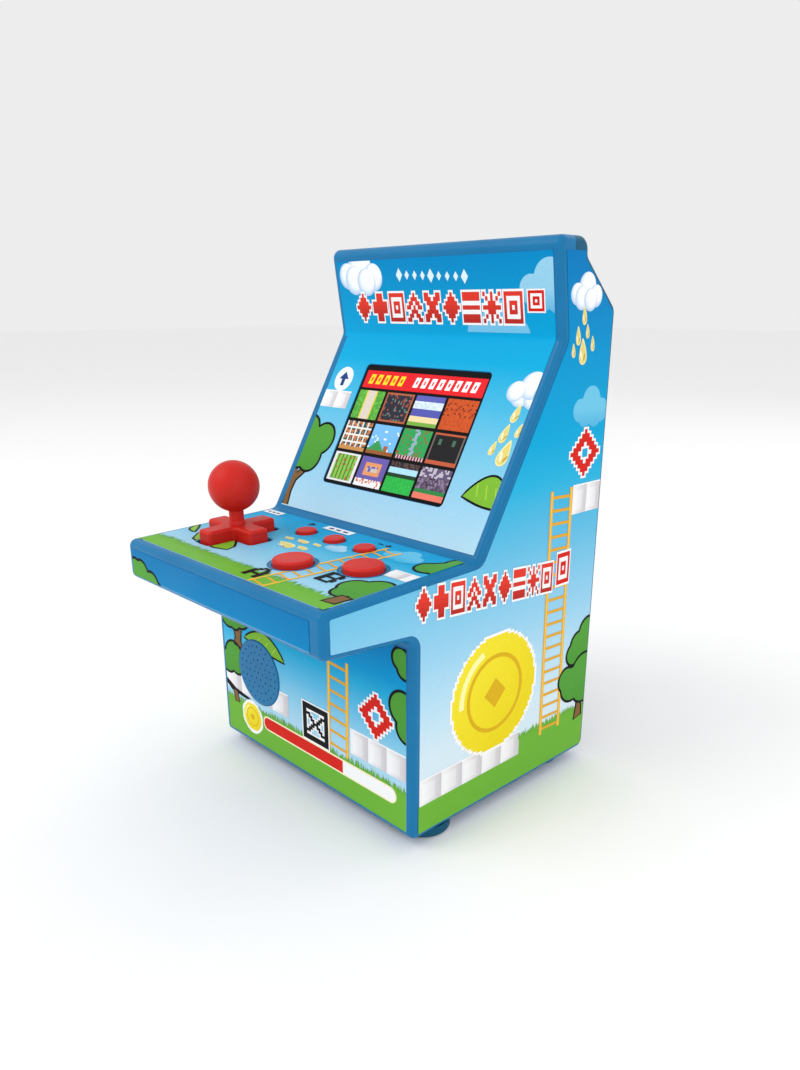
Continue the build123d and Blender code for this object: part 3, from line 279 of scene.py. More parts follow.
SIDE_SKY = [
    (0.000, (224, 238, 247)), (0.030, (214, 234, 244)), (0.045, (188, 225, 243)),
    (0.062, (154, 210, 238)), (0.088, (98, 190, 228)), (0.105, (40, 180, 223)),
    (0.118, (2, 169, 219)), (0.140, (0, 153, 210)), (0.158, (0, 134, 197)), (0.176, (0, 118, 186)),
]
UPPER_SKY = [
    (0.086, (190, 226, 241)), (0.098, (162, 213, 239)), (0.112, (124, 201, 231)),
    (0.127, (72, 185, 225)), (0.139, (2, 171, 220)), (0.147, (0, 166, 219)),
    (0.160, (0, 151, 206)), (0.172, (0, 136, 198)),
]
LOWER_SKY = [
    (0.005, (178, 220, 241)), (0.022, (176, 218, 240)), (0.030, (149, 208, 235)),
    (0.040, (96, 190, 230)), (0.048, (40, 177, 222)), (0.054, (0, 156, 214)), (0.066, (0, 132, 196)),
]
DECK_SKY = [
    (-0.060, (170, 216, 237)), (-0.046, (156, 210, 234)), (-0.036, (128, 199, 232)),
    (-0.026, (84, 187, 226)), (-0.016, (20, 168, 217)), (-0.004, (0, 156, 213)),
]
APRON_SKY = [(0.070, (0, 134, 190)), (0.076, (0, 126, 184)), (0.084, (0, 116, 176))]

MATERIALS = {
    "blue_plastic": moulded("blue_plastic", FRAME_BLUE, shade=0.05),
    # teal_plastic is the frame's plastic with its colour darkened by painted shade
    "teal_plastic": moulded("teal_plastic", SHADED_TEAL, rough=(0.42, 0.56), bump=0.22),
    "red_plastic": moulded("red_plastic", RED, rough=(0.36, 0.50), bump=0.10, shade=0.08),
    # the feet's colour is the frame's blue darkened with painted shade
    "foot_rubber": moulded("foot_rubber", (8, 84, 116), rough=(0.6, 0.75), grain=1500, bump=0.3),
    "clear_acrylic": clear_sheet("clear_acrylic"),
    "black_foam": moulded("black_foam", (18, 18, 19), rough=(0.8, 0.95), grain=900, bump=0.6),
    "display_glass": moulded("display_glass", (12, 13, 16), rough=(0.08, 0.14), bump=0.02,
                             coat=0.5),
    "metal_frame": moulded("metal_frame", (178, 180, 184), rough=(0.28, 0.42), metallic=1.0),
    "flex_film": moulded("flex_film", (170, 96, 34), rough=(0.3, 0.45)),
    "circuit_board": moulded("circuit_board", (20, 104, 62), rough=(0.3, 0.5), shade=0.25),
    "chip_plastic": moulded("chip_plastic", (26, 26, 28), rough=(0.5, 0.65), bump=0.3),
    "screw_steel": moulded("screw_steel", (168, 170, 176), rough=(0.25, 0.4), metallic=1.0),
    "silicone": moulded("silicone", (150, 152, 156), rough=(0.6, 0.75)),
    "black_plastic": moulded("black_plastic", (26, 26, 29), rough=(0.45, 0.6), bump=0.25),
    "speaker_paper": moulded("speaker_paper", (34, 33, 34), rough=(0.8, 0.95), grain=1200,
                             bump=0.5),
    "wire_insulation": moulded("wire_insulation", (176, 26, 24), rough=(0.4, 0.5)),
    "cell_wrap": moulded("cell_wrap", (44, 46, 52), rough=(0.25, 0.4)),
    "plated_contact": moulded("plated_contact", (200, 196, 184), rough=(0.2, 0.35),
                              metallic=1.0),
}
FILMS = {
    "upper_label": printed_film("upper_film", "Z", UPPER_SKY),
    "deck_label": printed_film("deck_film", "Y", DECK_SKY),
    "apron_label": printed_film("apron_film", "Z", APRON_SKY),
    "lower_front_label": printed_film("lower_film", "Z", LOWER_SKY),
    "left_side_label": printed_film("side_film", "Z", SIDE_SKY),
}
FILMS["right_side_label"] = FILMS["left_side_label"]

slot_of = {part["node"]: part["material_slot"] for part in frame["record"]["subparts"]}
for node, piece in frame["nodes"].items():
    piece.data.materials.clear()
    piece.data.materials.append(FILMS.get(node) or MATERIALS[slot_of[node]])

INK = ink("printed_ink")
PICTURE = ink("screen_picture", glow=0.12)


# ------------------------------------------------------------------ flat artwork on a panel
TINY = 1e-6             # mm2, below which a piece is dropped


class Panel:
    """A flat face in millimetres: origin, directions across and up, trim corners and holes."""

    def __init__(self, origin, across, up, low, high, holes=(), facing=1):
        self.origin, self.across, self.up = Vector(origin), Vector(across), Vector(up)
        self.normal = self.across.cross(self.up) * facing
        self.low, self.high, self.holes, self.facing = low, high, holes, facing

    def point(self, u, v, height):
        """A place on the panel, lifted by height, in metres."""
        return (self.origin + self.across * u + self.up * v + self.normal * height) * MM


def cut(polygon, a, b, keep_left):
    """The part of a convex polygon on one side of the line from a to b."""
    def offset(p):
        d = (b[0] - a[0]) * (p[1] - a[1]) - (b[1] - a[1]) * (p[0] - a[0])
        return d if keep_left else -d
    kept = []
    for p, q in zip(polygon, polygon[1:] + polygon[:1]):
        dp, dq = offset(p), offset(q)
        if dp >= 0:
            kept.append(p)
        if (dp > 0 > dq) or (dp < 0 < dq):
            t = dp / (dp - dq)
            kept.append((p[0] + (q[0] - p[0]) * t, p[1] + (q[1] - p[1]) * t))
    return kept


def area(polygon):
    return 0.5 * sum(p[0] * q[1] - q[0] * p[1] for p, q in zip(polygon, polygon[1:] + polygon[:1]))


def without(polygon, hole):
    """A convex polygon less a convex hole, as convex pieces."""
    us, vs = [p[0] for p in hole], [p[1] for p in hole]
    pu, pv = [p[0] for p in polygon], [p[1] for p in polygon]
    if max(pu) < min(us) or min(pu) > max(us) or max(pv) < min(vs) or min(pv) > max(vs):
        return [polygon]
    pieces, rest = [], polygon
    for a, b in zip(hole, hole[1:] + hole[:1]):
        outside = cut(rest, a, b, False)
        if len(outside) > 2 and abs(area(outside)) > TINY:
            pieces.append(outside)
        rest = cut(rest, a, b, True)
        if len(rest) < 3:
            break
    return pieces


class Art:
    """Printed shapes on one panel. A higher level lies a hair above a lower one."""

    STEP = 0.012        # mm from one level to the next
    HAIR = 0.0005       # mm between shapes on one level, so that none lie in the same plane
    HAIRS = 24

    def __init__(self, name, panel, material=None, base=0.004):
        self.name, self.panel, self.material, self.base = name, panel, material or INK, base
        self.mesh = bmesh.new()
        self.paint = self.mesh.loops.layers.float_color.new("ink")
        self.count = 0

    def height(self, level):
        """How far the next shape of a level stands off the panel."""
        self.count += 1
        return self.base + self.STEP * level + self.HAIR * (self.count % self.HAIRS)

    def shape(self, points, fill, level=1):
        """One filled polygon; fill is a colour or a function of the place."""
        height, corners = self.height(level), {}
        if len(points) == 4:
            self.lay(points, fill, height, corners)
            return
        flat = [Vector((u, v, 0)) for u, v in points]
        for corner in tessellate_polygon([flat]):
            self.lay([points[i] for i in corner], fill, height, corners)

    def ring(self, points, width, fill, level=1):
        """A line of even width along a closed outline."""
        height, corners = self.height(level), {}
        count, inner, outer = len(points), [], []
        for i, p in enumerate(points):
            before, after = points[i - 1], points[(i + 1) % count]
            u, v = after[1] - before[1], before[0] - after[0]
            length = hypot(u, v) or 1.0
            inner.append((p[0] - u / length * width / 2, p[1] - v / length * width / 2))
            outer.append((p[0] + u / length * width / 2, p[1] + v / length * width / 2))
        for i in range(count):
            j = (i + 1) % count
            self.lay([inner[i], outer[i], outer[j], inner[j]], fill, height, corners)

    def lay(self, piece, fill, height, corners):
        """One convex piece, trimmed to the panel and cleared from its holes."""
        if area(piece) < 0:
            piece = piece[::-1]
        (u0, v0), (u1, v1) = self.panel.low, self.panel.high
        frame_corners = [(u0, v0), (u1, v0), (u1, v1), (u0, v1)]
        for a, b in zip(frame_corners, frame_corners[1:] + frame_corners[:1]):
            piece = cut(piece, a, b, True)
            if len(piece) < 3:
                return
        pieces = [piece] if abs(area(piece)) > TINY else []
        for hole in self.panel.holes:
            pieces = [part for whole in pieces for part in without(whole, hole)]
        for part in pieces:
            self.face(part, fill, height, corners)

    def face(self, part, fill, height, corners):
        """One mesh face, with the corners that it shares with its neighbours."""
        if self.panel.facing < 0:
            part = part[::-1]
        places = []
        for u, v in part:
            key = (round(u, 4), round(v, 4))
            if key not in corners:
                corners[key] = self.mesh.verts.new(self.panel.point(u, v, height))
            if not places or corners[key] is not places[-1][0]:
                places.append((corners[key], (u, v)))
        if len(places) > 1 and places[0][0] is places[-1][0]:
            places.pop()
        if len({vert for vert, _ in places}) < max(3, len(places)):
            return
        # a sliver may fold onto corners that already carry a face
        try:
            face = self.mesh.faces.new([vert for vert, _ in places])
        except ValueError:
            return
        for loop, (_, place) in zip(face.loops, places):
            rgb = fill(*place) if callable(fill) else fill
            loop[self.paint] = (*linear(rgb), 1)

    def finish(self, slot="printed_label"):
        """The shapes as one piece that rides on the cabinet."""
        data = bpy.data.meshes.new(self.name)
        self.mesh.to_mesh(data)
        self.mesh.free()
        data.materials.append(self.material)
        piece = bpy.data.objects.new(self.name, data)
        bpy.context.scene.collection.objects.link(piece)
        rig.ride(piece, "cabinet")
        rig.slot(piece, slot)
        return piece


# ------------------------------------------------------------------ outlines
def oval(centre, wide, high, turn=0.0, count=44):
    """An ellipse with half axes wide and high."""
    c, s = cos(radians(turn)), sin(radians(turn))
    angles = [2 * pi * i / count for i in range(count)]
    ring = [(wide * cos(a), high * sin(a)) for a in angles]
    return [(centre[0] + x * c - y * s, centre[1] + x * s + y * c) for x, y in ring]


def rectangle(u0, v0, u1, v1):
    return [(u0, v0), (u1, v0), (u1, v1), (u0, v1)]


def stroke(a, b, width):
    """A straight bar from a to b."""
    length = hypot(b[0] - a[0], b[1] - a[1]) or 1.0
    x, y = -(b[1] - a[1]) / length * width / 2, (b[0] - a[0]) / length * width / 2
    return [(a[0] - x, a[1] - y), (b[0] - x, b[1] - y), (b[0] + x, b[1] + y), (a[0] + x, a[1] + y)]


def puff(lobes, count=110):
    """The outline round overlapping circles (u, v, radius), as seen from their middle."""
    weight = sum(r * r for _, _, r in lobes)
    u0 = sum(u * r * r for u, _, r in lobes) / weight
    v0 = sum(v * r * r for _, v, r in lobes) / weight
    outline = []
    for i in range(count):
        c, s = cos(2 * pi * i / count), sin(2 * pi * i / count)
        reach = 0.1
        for u, v, r in lobes:
            along = (u - u0) * c + (v - v0) * s
            aside = (u - u0) * s - (v - v0) * c
            inside = r**2 - aside**2
            if inside > 0:
                reach = max(reach, along + inside**0.5)
        outline.append((u0 + reach * c, v0 + reach * s))
    return outline


def teardrop(centre, width, height, turn=0.0, count=36):
    """A drop, narrow at the top and round at the foot."""
    points = []
    for i in range(count):
        a = 2 * pi * i / count
        taper = 0.5 * (1 - cos(a))
        x = 0.5 * width * sin(a) * (0.28 + 0.72 * taper)
        y = 0.5 * height * cos(a)
        c, s = cos(radians(turn)), sin(radians(turn))
        points.append((centre[0] + x * c - y * s, centre[1] + x * s + y * c))
    return points


# ------------------------------------------------------------------ motifs
CLOUD_LOBES = ((0.1, 1.1, 2.7), (-3.1, -0.2, 2.0), (3.0, -0.5, 2.1), (-1.5, -0.9, 2.2),
               (1.3, -1.2, 2.1))
CLOUD_SHADES = ((188, 212, 240), (216, 231, 247), (238, 245, 251), WHITE)


def cloud(art, u, v, width, level=1, veil=None):
    """A cartoon cloud of puffs, each pale blue at its foot; a veil makes it a faint one."""
    w = width / 10
    lobes = [(u + a * w, v + b * w, r * w) for a, b, r in CLOUD_LOBES]
    low = v - 3.4 * w
    top, foot = (WHITE, (176, 206, 236)) if veil is None else veil
    art.shape(puff(lobes), lambda _, y: mix(foot, top, (y - low) / (3.2 * w)), level)
    if veil is None:
        for a, b, r in lobes:
            for k, rgb in enumerate(CLOUD_SHADES):
                shrink = 1 - 0.09 * k
                centre = (a + 0.05 * r * k, b + 0.07 * r * k)
                art.shape(oval(centre, shrink * r, shrink * r), rgb, level + 1)


def bush(art, lobes, level=2, line=0.9, fill=LEAF):
    """A crown of puffs with a heavy black outline."""
    top = max(v + r for _, v, r in lobes)
    foot = min(v - r for _, v, r in lobes)
    edge = puff(lobes)
    shady = mix(fill, (30, 100, 30), 0.12)
    art.shape(edge, lambda _, y: mix(shady, fill, (y - foot) / (top - foot) * 1.6), level)
    art.ring(edge, line, BLACK, level + 1)


def trunk(art, points, level=2, line=0.8):
    """A brown shape with a black outline."""
    art.shape(points, BARK, level)
    art.ring(points, line, BLACK, level + 1)


def leaf(art, tip, heel, belly, level=2, line=0.7):
    """A broad leaf with pale ribs; belly is its bulge to the left of the line heel to tip."""
    du, dv = tip[0] - heel[0], tip[1] - heel[1]
    length = hypot(du, dv)
    x, y = -dv / length, du / length
    edge = []
    for i in range(21):
        t = i / 20
        bulge = belly * sin(pi * t) ** 0.8
        edge.append((heel[0] + du * t + x * bulge, heel[1] + dv * t + y * bulge))
    for t in (0.85, 0.65, 0.5, 0.35, 0.15):
        bulge = -0.12 * belly * sin(pi * t)
        edge.append((heel[0] + du * t + x * bulge, heel[1] + dv * t + y * bulge))
    art.shape(edge, LIME, level)
    art.ring(edge, line, BLACK, level + 2)
    for t in (0.3, 0.5, 0.7):
        u, v = heel[0] + du * t, heel[1] + dv * t
        end = (u + x * belly * 0.62 + du * 0.1, v + y * belly * 0.62 + dv * 0.1)
        start = (u + x * belly * 0.15, v + y * belly * 0.15)
        art.shape(stroke(start, end, 0.45), (168, 214, 72), level + 1)


def drop(art, u, v, width, height, turn=0.0, level=2):
    """A gold drop with a pale rim and a curl of light."""
    art.shape(teardrop((u, v), width, height, turn), (248, 238, 170), level)
    inner = teardrop((u, v - 0.03 * height), 0.80 * width, 0.84 * height, turn)
    shine = oval((u - 0.14 * width, v - 0.14 * height), 0.10 * width, 0.20 * height, turn + 20)
    shade = oval((u + 0.16 * width, v - 0.2 * height), 0.07 * width, 0.14 * height, turn - 25)
    art.shape(inner, PALE_GOLD, level + 1)
    art.shape(shine, CREAM, level + 2)
    art.shape(shade, (196, 168, 72), level + 2)


def ladder(art, foot, top, width, rungs, level=3, line=1.5, rung=1.0, lean=0.0):
    """Two rails and their rungs; lean drops the right end of each rung."""
    du, dv = top[0] - foot[0], top[1] - foot[1]
    length = hypot(du, dv)
    x, y = dv / length * width / 2, -du / length * width / 2
    for i in range(rungs):
        t = (i + 0.5) / rungs
        u, v = foot[0] + du * t, foot[1] + dv * t
        art.shape(stroke((u - x, v - y), (u + x, v + y - lean), rung), mix(GOLD, BARK, 0.12), level)
    for side in (-1, 1):
        start = (foot[0] + side * x, foot[1] + side * y)
        end = (top[0] + side * x, top[1] + side * y)
        art.shape(stroke(start, end, line), GOLD, level + 1)
        art.shape(stroke(start, end, line * 0.3), (250, 206, 96), level + 2)


def blocks(art, u0, v0, u1, v1, count, level=2):
    """A row of white blocks, each shaded from left to right with a bright top edge."""
    pitch, high = (u1 - u0) / count, v1 - v0
    for i in range(count):
        a, b = u0 + i * pitch, u0 + (i + 1) * pitch

        def shade(x, _, a=a):
            return mix((250, 249, 250), (206, 202, 206), (x - a) / pitch)

        def light(x, _, a=a):
            return mix((255, 255, 255), (222, 219, 222), (x - a) / pitch)
        inner = rectangle(a + 0.12 * pitch, v0 + 0.12 * high, b - 0.3 * pitch, v1 - 0.2 * high)
        art.shape(rectangle(a, v0, b, v1), shade, level)
        art.shape(inner, light, level + 1)
        art.shape(rectangle(a, v1 - 0.45, b, v1), WHITE, level + 1)


def turf(art, u0, u1, foot, top, seed, level=2, blade=2.6, pitch=0.75):
    """Ground with a ragged edge of grass blades in three greens."""
    chance = random.Random(seed)
    art.shape(rectangle(u0, foot, u1, top), GRASS, level)
    for layer, rgb in enumerate((mix(GRASS, WHITE, 0.18), DARK_GRASS, GRASS)):
        u = u0
        while u < u1:
            height = blade * (0.45 + 0.75 * chance.random()) * (1.0 - 0.12 * layer)
            lean = (chance.random() - 0.5) * 1.6
            half = 0.42 + 0.3 * chance.random()
            tip = (u + lean, top + height)
            art.shape([(u - half, top - 0.2), (u + half, top - 0.2), tip],
                      lambda _, y, rgb=rgb: mix(GRASS, rgb, (y - top) / blade * 1.4),
                      level + 1 + layer)
            u += pitch * (0.6 + 0.9 * chance.random())


ORNAMENTS = {
    "gem": ("...#...", "..###..", ".#####.", "#######", ".#####.", "..###..", "...#..."),
    "ring": ("#######", "#.....#", "#.###.#", "#.#.#.#", "#.###.#", "#.....#", "#######"),
    "plus": ("..###..", "..###..", "#######", "#######", "#######", "..###..", "..###.."),
    "cross": ("##...##", "###.###", ".#####.", "..###..", ".#####.", "###.###", "##...##"),
    "peaks": ("...#...", "..###..", ".##.##.", "##.#.##", "..###..", ".##.##.", "##...##"),
    "bars": ("#######", "#######", ".......", "#######", ".......", "#######", "#######"),
    "burst": ("#..#..#", ".#.#.#.", "..###..", "#######", "..###..", ".#.#.#.", "#..#..#"),
}
FRIEZE = ("gem", "plus", "ring", "peaks", "cross", "gem", "bars", "burst", "ring")
CRATE = (
    "#############", "#############", "##.........##", "####.....####", "##.##...##.##",
    "##..##.##..##", "##...###...##", "##..##.##..##", "##.##...##.##", "####.....####",
    "##.........##", "#############", "#############",
)
EMBLEM = (
    "......#......", ".....###.....", "....#####....", "...###.###...", "..###...###..",
    ".###.....###.", "..###...###..", "...###.###...", "....#####....", ".....###.....",
    "......#......",
)


def runs(cells, wide):
    """Filled stretches of a row, as (start, end) pairs."""
    start = None
    for i in range(wide + 1):
        filled = i < wide and cells(i)
        if filled and start is None:
            start = i
        elif not filled and start is not None:
            yield start, i
            start = None


def bitmap(art, rows, u, v, cell, level, fill, rim=WHITE, slope=0.0):
    """Pixel art with its lower left corner at (u, v), and a rim half a pixel wide."""
    grid = [[mark == "#" for mark in row] for row in reversed(rows)]
    high, wide = len(grid), len(grid[0])

    def solid(i, j):
        return 0 <= j < high and 0 <= i < wide and grid[j][i]

    def leaning(a, low, b, high):
        rise, fall = slope * (b - u), slope * (a - u)
        return [(a, low + fall), (b, low + rise), (b, high + rise), (a, high + fall)]
    if rim:
        for j in range(-1, 2 * high + 1):
            def near(i, j=j):
                return any(solid((i - 1 + a) // 2, (j + b) // 2)
                           for a in (-1, 0, 1) for b in (-1, 0, 1))
            for a, b in runs(near, 2 * wide + 2):
                art.shape(leaning(u + (a - 1) * cell[0] / 2, v + j * cell[1] / 2,
                                  u + (b - 1) * cell[0] / 2, v + (j + 1) * cell[1] / 2), rim, level)
    for j in range(high):
        for a, b in runs(lambda i, j=j: grid[j][i], wide):
            colour = fill(j / (high - 1)) if callable(fill) else fill
            art.shape(leaning(u + a * cell[0], v + j * cell[1],
                              u + b * cell[0], v + (j + 1) * cell[1]), colour, level + 2)


def frieze(art, u0, u1, v, height, level=4, slope=0.0):
    """A band of ornaments, red above and darker below."""
    pitch = (u1 - u0) / len(FRIEZE)
    cell = (pitch / 8.2, height / 7)
    for i, name in enumerate(FRIEZE):
        u = u0 + i * pitch
        bitmap(art, ORNAMENTS[name], u, v + slope * (u - u0), cell, level,
               lambda t: mix((176, 40, 34), (228, 58, 44), 0.2 + 1.2 * t), slope=slope)


def pixel_disc(centre, radius, cell):
    """A circle stepped like pixel art."""
    rows = int(radius / cell)
    right = []
    for j in range(-rows, rows + 1):
        y = j * cell
        half = cell * round((max(radius**2 - y**2, 0) ** 0.5) / cell)
        right += [(half, y - cell / 2), (half, y + cell / 2)]
    return [(centre[0] + x, centre[1] + y) for x, y in right] + \
        [(centre[0] - x, centre[1] + y) for x, y in reversed(right)]


def token(art, u, v, radius, level=3, cell=0.9):
    """A plain glossy yellow disc with a stepped white rim, an inner ring and a diamond."""
    art.shape(pixel_disc((u, v), radius + 1.1, cell), WHITE, level)

    def shade(x, y):
        away = hypot(x - u + 0.3 * radius, y - v - 0.3 * radius)
        return mix((252, 240, 70), (238, 214, 24), away / (1.5 * radius))
    art.shape(pixel_disc((u, v), radius, cell), shade, level + 1)
    art.ring(oval((u, v), 0.64 * radius, 0.64 * radius), 0.07 * radius, TOKEN_LINE, level + 2)
    half = 0.26 * radius
    art.shape([(u - half, v), (u, v - half), (u + half, v), (u, v + half)], TOKEN_LINE, level + 2)
    shine = [(u + 0.80 * radius * cos(radians(112 + 8 * i)), v + 0.80 * radius * sin(radians(112 + 8 * i)))
             for i in range(10)]
    for a, b in zip(shine, shine[1:]):
        art.shape(stroke(a, b, 0.11 * radius), (255, 250, 170), level + 2)


# ------------------------------------------------------------------ where the panels are
deck_low, deck_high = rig.box("deck_label")
upper_low, upper_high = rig.box("upper_label")
side_low, side_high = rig.box("right_side_label")
lower_low, lower_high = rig.box("lower_front_label")
apron_low, apron_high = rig.box("apron_label")

FILM = 0.15              # thickness of the printed films
SLOPE = radians(1.67)    # of the deck
DECK_ORIGIN = (0, -59.8, 84.4)
BEZEL_FOOT = (0, -1.6, 86.03)
FOLD = (0, 33.3, 147.0)
MARQUEE_TOP = (0, 28.8, 175.6)
LEAN = atan2(FOLD[1] - BEZEL_FOOT[1], FOLD[2] - BEZEL_FOOT[2])
TIP = atan2(MARQUEE_TOP[1] - FOLD[1], MARQUEE_TOP[2] - FOLD[2])
ACROSS = (1, 0, 0)
UP = (0, 0, 1)
UP_DECK = (0, cos(SLOPE), sin(SLOPE))
UP_BEZEL = (0, sin(LEAN), cos(LEAN))
UP_MARQUEE = (0, sin(TIP), cos(TIP))

BEZEL_LENGTH = hypot(FOLD[1] - BEZEL_FOOT[1], FOLD[2] - BEZEL_FOOT[2])
BEZEL_LEFT = -46.4       # the frame is wider at this side of the screen
WINDOW_V = BEZEL_LENGTH - 34.2
WINDOW_HALF = (29.3, 22.7)
PICTURE_HALF = (28.9, 22.3)
PICTURE_DEPTH = 0.09     # below the bezel's face
STICK = (-26.9, 27.3)
STICK_ARM, STICK_HALF = 14.0, 4.8
BIG_HOLE, SMALL_HOLE = 7.75, 3.8
BUTTONS = ((11.3, 21.1, BIG_HOLE), (31.2, 31.2, BIG_HOLE), (-12.5, 44.4, SMALL_HOLE),
           (2.0, 44.4, SMALL_HOLE), (16.5, 44.4, SMALL_HOLE))
SPEAKER = (-26.6, 34.5)
SPEAKER_RADIUS = 12.3


def lifted(origin, across, up, height):
    """A panel's origin, moved off its face by height."""
    return Vector(origin) + Vector(across).cross(Vector(up)) * height


def millimetres(*places):
    return tuple(place / MM for place in places)


deck_holes = [oval((u, v), r, r, count=36) for u, v, r in BUTTONS]
for wide, high in ((STICK_ARM, STICK_HALF), (STICK_HALF, STICK_ARM)):
    deck_holes.append(rectangle(STICK[0] - wide, STICK[1] - high, STICK[0] + wide, STICK[1] + high))
speaker_hole = oval(SPEAKER, SPEAKER_RADIUS, SPEAKER_RADIUS, count=48)
window = rectangle(-WINDOW_HALF[0], WINDOW_V - WINDOW_HALF[1], WINDOW_HALF[0], WINDOW_V + WINDOW_HALF[1])
side_trim = (millimetres(side_low.y, side_low.z), millimetres(side_high.y, side_high.z))

RIGHT = Panel((side_high.x / MM, 0, 0), (0, 1, 0), UP, *side_trim)
LEFT = Panel((-side_high.x / MM, 0, 0), (0, 1, 0), UP, *side_trim, facing=-1)
LOWER = Panel((0, lower_low.y / MM, 0), ACROSS, UP, millimetres(lower_low.x, lower_low.z),
              millimetres(lower_high.x, lower_high.z), [speaker_hole])
APRON = Panel((0, apron_low.y / MM, 0), ACROSS, UP, millimetres(apron_low.x, apron_low.z),
              millimetres(apron_high.x, apron_high.z))
DECK = Panel(lifted(DECK_ORIGIN, ACROSS, UP_DECK, FILM), ACROSS, UP_DECK,
             (deck_low.x / MM, 2.95), (deck_high.x / MM, 55.3), deck_holes)
BEZEL = Panel(lifted(BEZEL_FOOT, ACROSS, UP_BEZEL, FILM), ACROSS, UP_BEZEL,
              (BEZEL_LEFT, 2.2), (upper_high.x / MM, 68.4), [window])
MARQUEE = Panel(lifted(FOLD, ACROSS, UP_MARQUEE, FILM), ACROSS, UP_MARQUEE,
                (upper_low.x / MM, 1.6), (upper_high.x / MM, 24.6))
SCREEN = Panel(lifted(BEZEL_FOOT, ACROSS, UP_BEZEL, -PICTURE_DEPTH), ACROSS, UP_BEZEL,
               (-PICTURE_HALF[0], WINDOW_V - PICTURE_HALF[1]),
               (PICTURE_HALF[0], WINDOW_V + PICTURE_HALF[1]))


# ------------------------------------------------------------------ sides
SIDE_DROPS = ((42.9, 153.8, 3.2, 5.6), (45.0, 149.2, 2.6, 4.2), (40.4, 148.0, 3.4, 5.6),
              (38.4, 143.8, 2.6, 4.2), (48.0, 145.6, 2.8, 4.6), (43.2, 143.4, 5.4, 7.8))


def side_art(name, panel):
    art = Art(name, panel)
    cloud(art, 43.4, 160.0, 15.6, 1)
    for u, v, wide, high in SIDE_DROPS:
        drop(art, u, v, wide, high, 6, 3)
    cloud(art, 49.5, 126.2, 18.0, 1, veil=((112, 200, 232), (84, 180, 226)))
    blocks(art, 43.0, 93.0, 57.9, 102.6, 2)
    bitmap(art, EMBLEM, 38.8, 105.0, (1.4, 1.35), 5, RED)
    ladder(art, (38.0, 17.6), (37.0, 102.2), 10.0, 20, 6, 1.5, 1.0, 0.6)
    frieze(art, -27.0, 35.6, 74.0, 9.6, 9, -0.075)
    bitmap(art, ORNAMENTS["ring"], 36.8, 70.6, (0.95, 1.5), 9, RED)
    token(art, 8.2, 41.6, 19.6)
    blocks(art, -25.0, 14.6, 21.6, 23.4, 5)
    turf(art, 21.6, 57.9, 4.9, 20.4, 11)
    art.shape(rectangle(-25.4, 4.9, 21.6, 14.6), GRASS, 2)
    trunk(art, [(52.4, 16.6), (56.8, 17.4), (55.8, 28.0), (52.8, 28.0), (53.4, 22.6)], 6)
    bush(art, [(50.0, 31.5, 6.6), (56.5, 34.0, 7.6), (57.0, 29.5, 7.0), (46.5, 34.0, 4.6)], 8)
    bush(art, [(52.5, 45.6, 5.0), (57.5, 49.5, 5.4), (49.8, 42.8, 4.2), (57.0, 44.0, 5.0)], 6)
    art.finish()


side_art("right_side_art", RIGHT)
side_art("left_side_art", LEFT)

# ------------------------------------------------------------------ lower front
BAR_LEFT, BAR_RIGHT, BAR_FILLED, BAR_Z, BAR_HALF = -22.6, 41.2, 18.8, 16.1, 2.2


def capsule(left, right, half, count=14):
    """The outline of a bar with round ends."""
    angles = [pi * i / count for i in range(count + 1)]
    return [(right + half * sin(a), BAR_Z - half * cos(a)) for a in angles] + \
        [(left - half * sin(a), BAR_Z + half * cos(a)) for a in angles]


def lower_front_art():
    art = Art("lower_front_art", LOWER)
    turf(art, -48.0, 48.0, 5.9, 18.2, 22, blade=3.4)
    blocks(art, -47.8, 22.9, -9.8, 31.6, 4)
    blocks(art, 22.8, 22.8, 48.0, 31.7, 3)
    bush(art, [(-42.0, 36.6, 5.6), (-40.6, 34.4, 4.8), (-46.0, 33.5, 4.5)], 6)
    trunk(art, [(-41.4, 41.4), (-36.2, 40.8), (-36.9, 44.0), (-36.0, 48.8), (-41.6, 48.4),
                (-40.4, 44.6)], 5)
    bush(art, [(-44.0, 52.6, 5.4), (-36.6, 54.4, 6.0), (-40.4, 51.2, 4.2)], 7)
    leaf(art, (-10.8, 42.8), (-34.6, 45.8), 6.2, 4)
    art.shape([(-47.9, 24.0), (-44.6, 22.0), (-32.6, 21.2), (-33.0, 22.3), (-42.0, 23.6),
               (-47.9, 26.2)], BLACK, 6)
    trunk(art, [(-44.0, 22.8), (-41.2, 22.6), (-40.2, 18.4), (-43.0, 18.2)], 7, 0.5)
    token(art, -32.2, 15.4, 5.4, 6, 0.45)
    bitmap(art, CRATE, -1.6, 19.4, (1.03, 1.03), 6, (20, 19, 21))
    ladder(art, (16.6, 20.2), (17.4, 53.4), 9.0, 7, 3, 1.4, 1.0, 0.4)
    bitmap(art, EMBLEM, 26.2, 32.6, (1.35, 1.35), 8, RED)
    bush(art, [(45.8, 62.0, 3.6), (47.6, 59.4, 3.4)], 5)
    bush(art, [(46.6, 46.6, 5.6), (48.5, 40.4, 4.6)], 5)
    art.shape(capsule(BAR_LEFT, BAR_RIGHT, BAR_HALF + 0.6), CREAM, 6)
    art.shape(capsule(BAR_LEFT, BAR_RIGHT, BAR_HALF), WHITE, 7)
    filled = [(min(u, BAR_FILLED), v) for u, v in capsule(BAR_LEFT, BAR_FILLED, BAR_HALF)]
    art.shape(filled, RED, 8)
    art.finish()


# ------------------------------------------------------------------ apron
def apron_art():
    art = Art("apron_art", APRON)
    bush(art, [(-46.4, 75.2, 3.8), (-42.6, 74.2, 4.8), (-36.2, 71.6, 4.8), (-33.0, 70.6, 3.4)],
         2, 0.9)
    art.shape(rectangle(-48.0, 72.95, 45.8, 73.35), (96, 164, 214), 1)
    art.finish()


